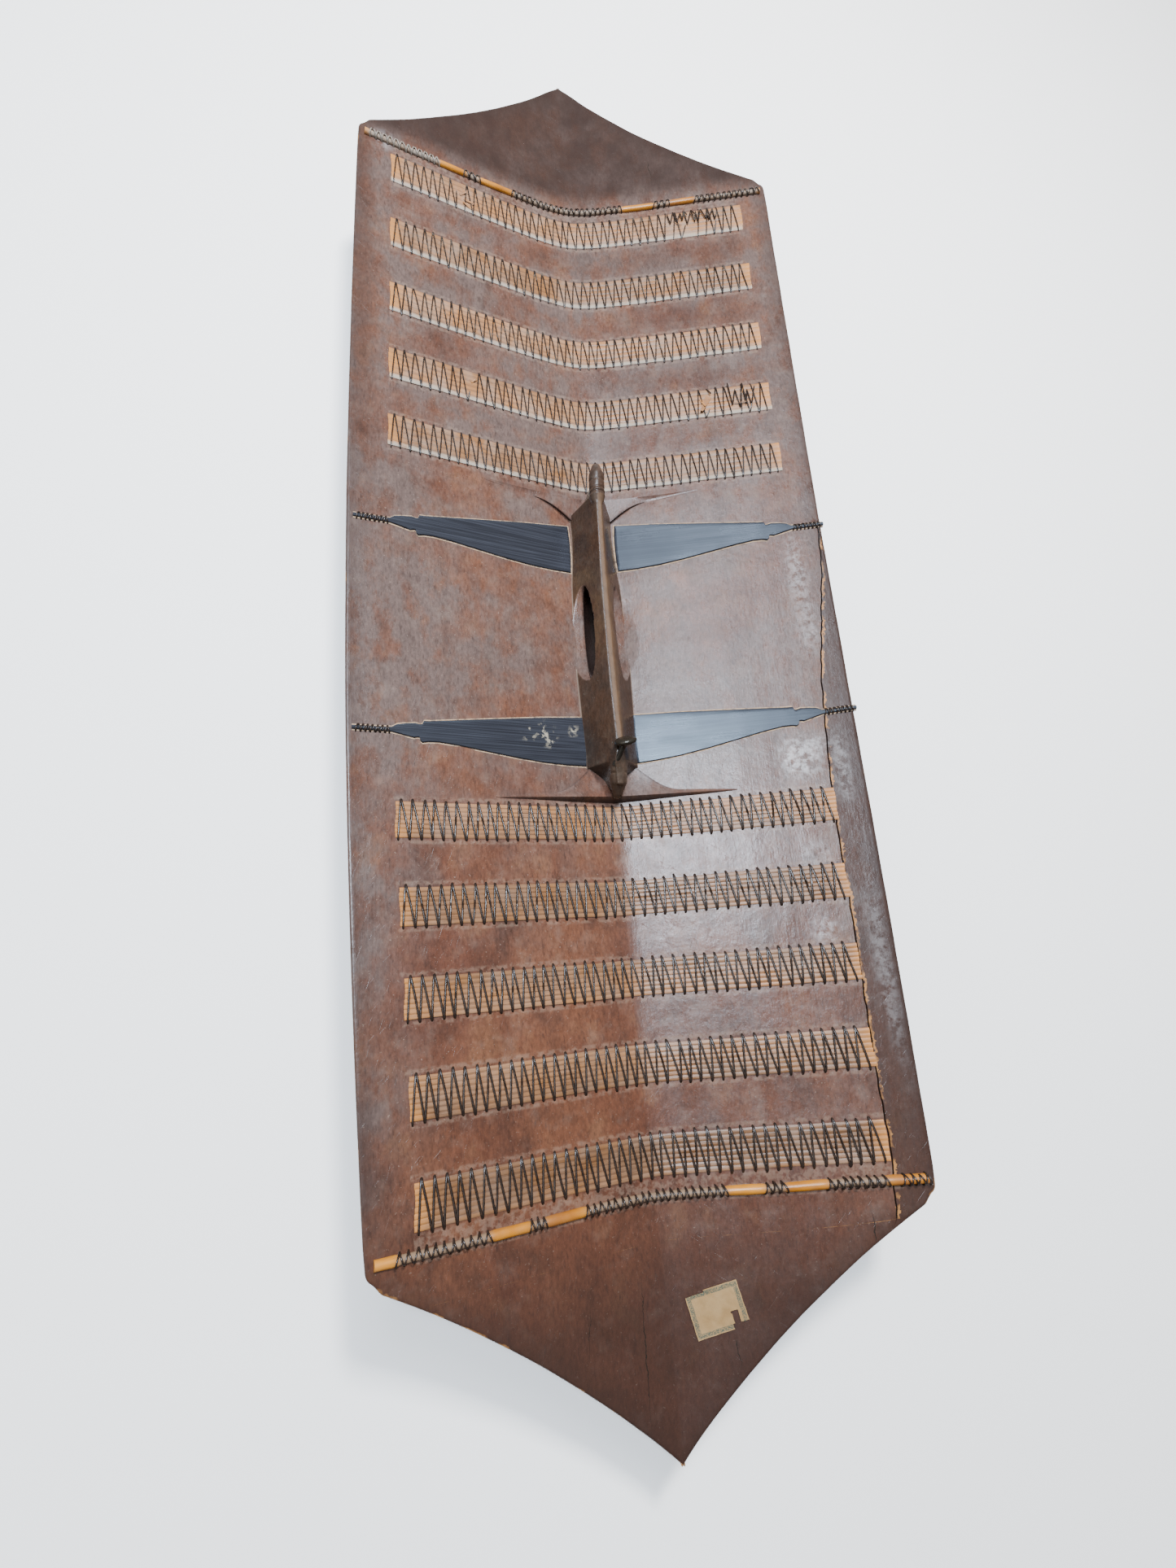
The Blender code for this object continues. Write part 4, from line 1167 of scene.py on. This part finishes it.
def makePeg():
    stem, knob, top = pegForm["stem"], pegForm["knob"], pegForm["length"]
    profile = [(-0.004, stem), (0.003, stem * 1.10), (0.008, stem * 0.95), (0.012, stem * 1.15),
               (top - 0.0078, stem * 1.1), (top - 0.0066, stem * 1.5), (top - 0.0060, knob * 0.66),
               (top - 0.0052, knob * 0.88), (top - 0.0038, knob * 0.99), (top - 0.0026, knob),
               (top - 0.0012, knob * 0.94), (top - 0.0002, knob * 0.80),
               (top + 0.0002, knob * 0.52), (top, knob * 0.12)]
    piece = turnPiece("handlePeg", profile, 32)
    x, y, z = pointsOf(piece).T
    head = unit((z - top + 0.0078) / 0.0012)
    setPoints(piece, x, y, z + head * pegForm["tilt"] * x)
    turn = Vector(pegForm["points"]).to_track_quat("Z", "Y").to_matrix().to_4x4()
    piece.data.transform(Matrix.Translation(pegForm["place"]) @ turn)
    piece.data.update()
    addAttributes(piece, stain=0.0, joint=0.0)
    dress(piece, pegWood, "handle_peg", 40)


# Bands: mats of flat splints

mats = {"proud": 0.0009, "buried": 0.0013, "groove": 0.0004, "step": 0.0045, "rows": 6,
        "ragged": 0.0005, "wobble": 0.00035, "seam": 0.0002, "uneven": 0.00018,
        "ripple": 0.00012}


def makeMat(side, index, middle, width, half):
    splints = bandLayout[side]["splints"]
    columns = round(2 * half / mats["step"])
    rows = splints * mats["rows"]
    piece, column, row = gridPiece(f"{side}Band{index}Mat", columns, rows)
    splint = np.minimum(row // mats["rows"], splints - 1)
    within = (row % mats["rows"]) / mats["rows"]
    x = -half + 2 * half * column / columns
    ragged = mats["ragged"] * np.sin(7.1 * splint + 3.3 * index + (2.0 if side == "upper" else 0.0))
    x = np.where(column == 0, x + ragged, np.where(column == columns, x + 0.8 * ragged, x))
    seed = index + (5 if side == "lower" else 0)
    wobble = mats["wobble"] * wave(x, seed, 0.19, 0.075)
    seam = mats["seam"] * np.sin(x * 2 * math.pi / 0.11 + 2.1 * row) * (np.abs(row / rows - 0.5) < 0.49)
    y = middle + width * (row / rows - 0.5) + wobble + seam
    crown = np.where(within == 0, 0.0, np.sin(math.pi * within) ** 0.35)
    lift = mats["proud"] + mats["groove"] * (crown - 1)
    lift += mats["uneven"] * np.sin(2.7 * splint + seed)
    lift += mats["ripple"] * wave(x + 0.01 * splint, seed, 0.06)
    setPoints(piece, x, y, innerPlain(x, y) + lift)
    thicken(piece, lambda x, y: innerPlain(x, y) - mats["buried"])
    x, y, _ = pointsOf(piece).T
    across = (y - middle) / width + 0.5
    number = np.clip(np.floor(across * splints), 0, splints - 1)
    lightness, dusty, strip = 0.70, 0.72, unit(1.5 - across / 0.115)
    if side == "lower":
        lightness, strip = 0.62 - 0.06 * index, 0.0
        dusty = 0.25 + 0.25 * unit(x / 0.15)
    toEnd = half - np.abs(x)
    addAttributes(piece, tone=lightness + 0.28 * np.sin(12.9 * number + 4.1 * seed),
                  groove=unit(np.abs(across * splints - number - 0.5) * 2),
                  dusty=dusty * np.clip(toEnd / 0.02, 0.1, 1), strip=strip,
                  ending=unit(1 - toEnd / 0.015))
    dress(piece, rattan, f"{side}_band_{index}_rattan", 50)


# Splints that have broken loose, as (place, reach, lift at the tip, width) in millimetres

splinters = {
    "upper_band_5_rattan": (
        ((-112, 449), (10, -4), 2.0, 2.6), ((-116, 452), (8, 5), 2.5, 2.0),
        ((-104, 440), (-9, 3), 1.5, 2.4), ((112, 455), (7, -6), 1.5, 1.2)),
    "upper_band_2_rattan": (
        ((-112, 234), (6, 5), 3.0, 1.6), ((127, 237), (-9, -17), 2.2, 5.5),
        ((119, 236), (3, -11), 2.6, 2.6), ((150, 226), (12, -1), 2.0, 2.0),
        ((158, 233), (3, 9), 4.0, 1.0)),
}
splinterThickness = 0.0005


def makeSplinters(node, strips):
    columns, rows = 8, 2
    for number, ((startX, startY), (reachX, reachY), tip, width) in enumerate(strips, 1):
        piece, column, row = gridPiece(f"splinter{number}{node[6:12]}", columns, rows)
        share = column / columns
        long = math.hypot(reachX, reachY)
        across = (row / rows - 0.5) * width * (1 - 0.55 * share ** 2)
        x = (startX + reachX * share - reachY / long * across) / 1000
        y = (startY + reachY * share + reachX / long * across) / 1000
        lift = (1.2 + tip * share ** 1.6 + 0.25 * (row == 1)) / 1000
        setPoints(piece, x, y, innerPlain(x, y) + lift)
        piece.modifiers.new("thickness", "SOLIDIFY").thickness = splinterThickness
        applyModifiers(piece)
        addAttributes(piece, tone=0.3 * number % 1, groove=0.0, dusty=0.3, strip=0.0,
                      ending=0.4 * (number % 2))
        dress(piece, rattan, node, 40)


# Lacing and lashing

# How far holes and stitches stray, as a usual distance
looseness = {"across": 0.0003, "along": 0.0004, "bow": 0.00032, "height": 0.0001}
strokeShares = (0.0, 0.02, 0.05, 0.09, 0.15, 0.25, 0.38, 0.5, 0.62, 0.75, 0.85, 0.91, 0.95,
                0.98, 1.0)

stitchCuts = {
    ("upper", 5): ((-0.121, -0.106), (0.104, 0.160)),
    ("upper", 2): ((-0.116, -0.108), (0.122, 0.129), (0.146, 0.168)),
}
# Where the loose ends lie bunched, as a range of X and how far down the band they reach
bunches = {("upper", 5): (0.106, 0.158, 0.15), ("upper", 2): (0.147, 0.171, -0.45)}


def tubePiece(name, runs, width, sides=1):
    # One curve with a run of points for each stretch of cord, made a mesh
    curve = bpy.data.curves.new(name, "CURVE")
    curve.dimensions = "3D"
    curve.bevel_depth = width / 2
    curve.bevel_resolution = sides
    curve.use_fill_caps = True
    for run in runs:
        spline = curve.splines.new("POLY")
        spline.points.add(len(run) - 1)
        flat = np.column_stack([run[:, :3], np.ones(len(run))])
        spline.points.foreach_set("co", flat.ravel())
        if run.shape[1] > 3:
            spline.points.foreach_set("radius", run[:, 3])
    piece = bpy.data.objects.new(name, curve)
    bpy.context.scene.collection.objects.link(piece)
    only(piece)
    bpy.ops.object.convert(target="MESH")
    return bpy.context.object


def zigzag(start, pitch, count, middle, reach, lean, random, topLoose):
    # Holes below and above the middle in turn, each a little out of place
    holes = []
    for turn in range(count + 1):
        x = start + turn * pitch + random.normal(0, looseness["across"])
        holes.append((x, middle - reach + random.normal(0, looseness["along"])))
        if turn < count:
            top = x + lean * pitch
            if topLoose:
                top += random.normal(0, looseness["across"])
            holes.append((top, middle + reach + random.normal(0, looseness["along"])))
    return holes


def stitch(start, end, heightOf, cord, random):
    # Over the wood from one hole to the next, with a slight bow
    shares = np.array(strokeShares)
    start, end = np.array(start), np.array(end)
    length = np.hypot(*(end - start))
    sideways = np.array([-(end - start)[1], (end - start)[0]]) / length
    bow = random.normal(0, looseness["bow"]) * np.sin(math.pi * shares)
    flat = start + np.outer(shares, end - start) + np.outer(bow, sideways)
    flat[0, 0] += 0.25 * cord
    flat[-1, 0] -= 0.25 * cord
    depth = np.minimum(shares, 1 - shares) * length
    height = heightOf(flat[:, 0], flat[:, 1], depth) + random.normal(0, looseness["height"])
    return np.column_stack([flat, height])


def brokenStitch(stroke, random):
    # Gone, or broken off short with a lifted end, or whole
    fate = random.random()
    if fate < 0.30:
        return []
    if fate < 0.62:
        keep = random.integers(6, 10)
        stroke = stroke[:keep]
        lifted = np.linspace(0, 1, keep) ** 3
        stroke[:, 2] += 0.0022 * lifted
        stroke[:, 0] += random.normal(0, 0.002) * lifted
    return [stroke]


def sew(holes, heightOf, cord, cuts=()):
    # Runs of points through the holes in turn. The cuts are ranges of X where the cord broke.
    random = np.random.default_rng(11)
    runs, run = [], []
    for start, end in zip(holes, holes[1:]):
        stroke = stitch(start, end, heightOf, cord, random)
        if any(low < (start[0] + end[0]) / 2 < high for low, high in cuts):
            broken = brokenStitch(stroke, random)
            runs += [np.array(run)] * bool(run) + broken
            run = []
        else:
            run.extend(stroke)
    return runs + [np.array(run)] * bool(run)


def bunchedRun(start, end, low, middle, reach, heightOf):
    random = np.random.default_rng(5)
    count = round((end - start) / 0.0027)
    x = np.linspace(start, end, count) + random.normal(0, 0.0009, count)
    level = np.where(np.arange(count) % 2 == 0, 0.78, low) + random.normal(0, 0.14, count)
    bends = np.column_stack([x, middle + reach * level, 0.95 + 0.2 * random.random(count)])
    fine = np.linspace(0, count - 1, 6 * count)
    x, y, thick = (np.interp(fine, np.arange(count), bends[:, k]) for k in (0, 1, 2))
    lift = 0.0007 + 0.0005 * np.sin(fine * 1.7)
    return np.column_stack([x, y, heightOf(x, y, 0.01) + lift, thick])


def makeLacing(side, index, middle, width, half):
    cord = lacing["cord"][side]
    reach = width / 2 + lacing["overhang"]
    long = 2 * half - lacing["margins"]
    count = round(long / lacing["pitch"])
    random = np.random.default_rng(100 * index + (7 if side == "upper" else 0))
    holes = zigzag(-half + lacing["start"], long / count, count, middle, reach,
                   lacing["lean"][side], random, True)
    top, holeDepth = mats["proud"] + 0.45 * cord, lacing["holeDepth"]

    def heightOf(x, y, depth):
        climb = 1 - np.exp(-depth / lacing["climb"])
        return innerPlain(x, y) - holeDepth + (top + holeDepth) * climb

    runs = sew(holes, heightOf, cord, stitchCuts.get((side, index), ()))
    if (side, index) in bunches:
        runs = [np.column_stack([run, np.ones(len(run))]) for run in runs]
        runs.append(bunchedRun(*bunches[(side, index)], middle, reach, heightOf))
    piece = tubePiece(f"{side}Band{index}Lacing", runs, cord)
    dusty = side == "upper" and index > 2
    dress(piece, dustyCord if dusty else darkCord, f"{side}_band_{index}_lacing", 60)


# End canes and their lashings, with the stretches that are lashed, in metres from the valley

lashed = {
    "upper": ((-0.201, -0.135), (-0.111, -0.094), (-0.061, 0.059), (0.092, 0.109),
              (0.134, 0.202)),
    "lower": ((-0.187, -0.124), (-0.098, -0.085), (-0.057, 0.054), (0.080, 0.097),
              (0.125, 0.169)),
}
lastStitches = (0.178, 0.199)  # beyond the plug at the lower cane's right end


def makeCane(side):
    along, radius = canes["along"][side], canes["radius"][side]
    half = float(outlineHalf(along)) - canes["margin"]
    lean = float(outlineLean(along))
    x = np.linspace(-half + lean, half + lean, 150)
    y = along + 0.0005 * wave(x, 4 if side == "upper" else 9, 0.21, 0.09)
    bare = np.ones(len(x))
    for start, end in lashed[side]:
        bare *= 1 - unit((x - start) / 0.003) * unit((end - x) / 0.003)
    swell = 0.80 + 0.20 * bare + 0.04 * wave(x, 2, 0.05, 0.021)
    run = np.column_stack([x, y, innerPlain(x, y) + 0.0006, swell])
    piece = tubePiece(f"{side}EndCane", [run], 2 * radius, 4)
    place = pointsOf(piece)[:, 0]
    dusty = np.full(len(place), 0.12)
    if side == "upper":
        dusty += 0.55 * np.interp(place, x, 1 - bare)
        dusty += np.where(place < -0.135, 0.6, 0.0)
    addAttributes(piece, covered=1 - np.interp(place, x, bare), dusty=dusty)
    dress(piece, glossyCane, f"{side}_end_cane", 50)


def makeLashing(side, index, start, end, node):
    along, radius, cord = canes["along"][side], canes["radius"][side], canes["stitchCord"]
    reach = radius + canes["stitchGap"]
    count = max(3, round((end - start) / canes["stitchPitch"]))
    random = np.random.default_rng(31 * index + (3 if side == "upper" else 0))
    holes = zigzag(start, (end - start) / count, count, along, reach,
                   canes["stitchLean"], random, False)

    def heightOf(x, y, depth):
        across = unit(np.abs(y - along) / reach)
        hump = canes["hump"] * radius * np.sqrt(np.maximum(1 - across ** 2, 0)) ** 0.9
        return innerPlain(x, y) - canes["holeDepth"] * across ** 6 + hump + 0.3 * cord

    piece = tubePiece(f"{side}CaneLashing{index}", sew(holes, heightOf, cord), cord)
    cordMaterial = darkCord if side == "lower" else paleCord if index == 1 else dustyCord
    dress(piece, cordMaterial, node, 60)


# Blades of dark hardwood

blades = {
    # name: side, middle of the inner end, tilt, height of the inner end, CAD node
    "upperLeftBlade": (-1, 0.0756, -0.047, 0.0500, "upper_left_blade"),
    "upperRightBlade": (1, 0.0788, 0.007, 0.0500, "upper_right_blade"),
    "lowerLeftBlade": (-1, -0.1198, -0.010, 0.0465, "lower_left_blade"),
    "lowerRightBlade": (1, -0.1179, 0.050, 0.0465, "lower_right_blade"),
}
bladeForm = {
    "inner": 0.0235,
    "length": 193,  # millimetres
    "proud": 0.0016,
    "buried": 0.0012,
    "bevel": 0.0007,
    "middleRows": 7,
    "wave": 0.00004,
    "hollowEnd": 0.0012,
    # place along the blade in millimetres, and its edge as a share of the inner half height
    "upperEdge": ((0, 1.0), (40, 0.86), (90, 0.62), (134, 0.40), (139.2, 0.39), (140.4, 0.27),
                  (142, 0.25), (146, 0.29), (154, 0.25), (160, 0.20), (164, 0.09), (193, 0.07)),
    "lowerEdge": ((0, -1.0), (18, -0.985), (38, -0.93), (62, -0.80), (88, -0.62), (112, -0.45),
                  (128, -0.37), (136, -0.38), (140.5, -0.42), (142.2, -0.36), (142.8, -0.24),
                  (144, -0.23), (147, -0.26), (154, -0.19), (160, -0.13), (164, -0.09),
                  (193, -0.07)),
}
# White stains on the lower left blade, as x, y and radius
bladeStains = ((-0.0745, -0.1155, 0.0050), (-0.0605, -0.1140, 0.0062),
               (-0.0560, -0.1200, 0.0050), (-0.0335, -0.1100, 0.0032))
binding = {"reach": 0.0036, "cord": 0.0013, "first": 0.1655, "last": 0.1905, "turns": 7,
           "lean": 0.0016, "holeDepth": 0.0016, "rise": 0.0042, "climb": 0.0011}


def makeBlade(name, side, middle, tilt, height, node):
    upper, lower = np.array(bladeForm["upperEdge"]), np.array(bladeForm["lowerEdge"])
    places = np.unique(np.round(np.concatenate([
        np.linspace(0, bladeForm["length"], 84), upper[:, 0], lower[:, 0],
        lower[:, 0] + 0.4]), 2))
    places = places[places <= bladeForm["length"]]
    # A rim of old gum lies round the blade: its steps as (distance beyond the edge, lift)
    bevel, proud = bladeForm["bevel"], bladeForm["proud"]
    rim = ((0.0013, -0.0004), (0.0010, 0.0002), (0.0001, 0.0003), (0.0, proud - bevel),
           (-bevel, proud))
    beyond, lifts = np.array(rim).T
    places = np.concatenate([-1000 * beyond, places[places > 1]])
    rows = 2 * len(rim) + bladeForm["middleRows"] - 1
    piece, column, row = gridPiece(name, len(places) - 1, rows)
    number = column if side > 0 else len(places) - 1 - column
    out = places[number]
    half = height / 2
    high = half * np.interp(out, upper[:, 0], upper[:, 1])
    low = half * np.interp(out, lower[:, 0], lower[:, 1])
    step = np.clip(np.minimum(row, rows - row), 0, len(rim) - 1)
    inset = unit((row - len(rim) + 1) / bladeForm["middleRows"])
    narrow = np.minimum(1, 0.3 * (high - low) / bevel)
    edge = np.where(beyond[step] < 0, beyond[step] * narrow, beyond[step])
    up = low - edge + (high - low + 2 * edge) * inset
    lift = np.minimum(lifts[step], lifts[np.clip(number, 0, len(rim) - 1)])
    lift += np.where(lift > 0.001, bladeForm["wave"] * wave(out / 1000, 6, 0.05, 0.02), 0)
    # The inner end is hollowed to the handle's foot
    curve = bladeForm["hollowEnd"] * (1 - (up / half) ** 2) * unit(1 - out / 12)
    x = side * (bladeForm["inner"] + out / 1000 - curve)
    y = middle + up + tilt * out / 1000
    setPoints(piece, x, y, innerPlain(x, y) + lift)
    thicken(piece, lambda x, y: innerPlain(x, y) - bladeForm["buried"])
    x, y, z = pointsOf(piece).T
    stain = np.zeros(len(x))
    if name == "lowerLeftBlade":
        for middleX, middleY, radius in bladeStains:
            gap = np.hypot(x - middleX, y - middleY)
            stain = np.maximum(stain, unit(1.6 - gap / radius))
    onGum = z - innerPlain(x, y) < 0.0006
    addAttributes(piece, joint=np.where(onGum, 1.0, 0.0), stain=stain)
    dress(piece, ebony, node, 40)


def makeBinding(name, side, middle, tilt, node):
    # The cord winds round the thin tail and through holes beside it
    reach, cord, turns = binding["reach"], binding["cord"], binding["turns"]
    first, last = binding["first"], binding["last"]
    holes = []
    for turn in range(turns + 1):
        out = first + (last - first) * turn / turns
        y = middle + tilt * out
        x = side * (bladeForm["inner"] + out)
        holes.append((x, y - reach))
        if turn < turns:
            holes.append((x + side * binding["lean"], y + reach))

    def heightOf(x, y, depth):
        climb = 1 - np.exp(-depth / binding["climb"])
        return innerPlain(x, y) - binding["holeDepth"] + binding["rise"] * climb

    piece = tubePiece(name, sew(holes, heightOf, cord), cord)
    dress(piece, darkCord, node, 60)


# Paper patch

patch = {"place": (0.0357, -0.5625), "turn": 12.5, "size": (0.0385, 0.0285), "thick": 0.0003,
         "columns": 56, "rows": 42, "lift": 0.0004, "curl": 0.0012}


def makePatch():
    piece, column, row = gridPiece("paperPatch", patch["columns"], patch["rows"])
    wide, tall = patch["size"]
    across, up = column / patch["columns"], row / patch["rows"]
    u, v = wide * (across - 0.5), tall * (up - 0.5)
    turn = math.radians(patch["turn"])
    ripple = 0.0002 * wave(u, 1, 0.012, 0.007) + 0.0001 * wave(v, 2, 0.009)
    x = patch["place"][0] + (u + ripple) * math.cos(turn) - v * math.sin(turn)
    y = patch["place"][1] + u * math.sin(turn) + (v + ripple) * math.cos(turn)
    curl = patch["curl"] * unit((across - 0.86) / 0.14) * unit((0.4 - up) / 0.4)
    setPoints(piece, x, y, innerPlain(x, y) + patch["lift"] + curl + np.abs(ripple))
    rim = np.minimum(np.minimum(across, 1 - across) * wide, np.minimum(up, 1 - up) * tall)
    addAttributes(piece, rim=rim)
    # Torn away: the lower right corner, a narrow strip beside it and one at the upper left
    tornX = 0.73 + 0.02 * np.sin(9 * up)
    gone = ((across > tornX) & (across < 0.84) & (up < 0.36)) | ((across > 0.70) & (up < 0.10))
    gone |= (across < 0.34) & (up > 0.965)
    for parts in (piece.data.polygons, piece.data.edges):
        parts.foreach_set("select", np.zeros(len(parts), dtype=bool))
    piece.data.vertices.foreach_set("select", gone)
    only(piece)
    bpy.ops.object.mode_set(mode="EDIT")
    bpy.ops.mesh.select_mode(type="VERT")
    bpy.ops.mesh.delete(type="VERT")
    bpy.ops.object.mode_set(mode="OBJECT")
    solidify = piece.modifiers.new("thickness", "SOLIDIFY")
    solidify.thickness = patch["thick"]
    solidify.offset = 1.0
    applyModifiers(piece)
    dress(piece, oldPaper, "paper_patch", 40)


# Floor

floorLook = {"size": 8.0, "colour": (0.93, 0.93, 0.93, 1), "roughness": 0.9}


def makeFloor():
    bpy.ops.object.select_all(action="DESELECT")
    bpy.ops.mesh.primitive_plane_add(size=floorLook["size"])
    floor = bpy.context.object
    floor.name = "floor"
    paint = newMaterial("floor")
    paint.shader.inputs["Base Color"].default_value = floorLook["colour"]
    paint.shader.inputs["Roughness"].default_value = floorLook["roughness"]
    floor.data.materials.append(paint.material)


makeCamera()
makeLights()
makeRoom()
makeBoard()
for name, values in crests.items():
    makeCrest(name, **values)
makeHandle()
makePeg()
for band in bands:
    makeMat(*band)
    makeLacing(*band)
for node, strips in splinters.items():
    makeSplinters(node, strips)
print("bands made")
for side in ("upper", "lower"):
    makeCane(side)
    for index, (start, end) in enumerate(lashed[side], 1):
        makeLashing(side, index, start, end, f"{side}_cane_lashing_{index}")
makeLashing("lower", 6, *lastStitches, "lower_cane_lashing_5")
print("canes made")
for name, (side, middle, tilt, height, node) in blades.items():
    makeBlade(name, side, middle, tilt, height, node)
    makeBinding(name + "Binding", side, middle, tilt, node + "_binding")
makePatch()
print("blades and patch made")
makeFloor()
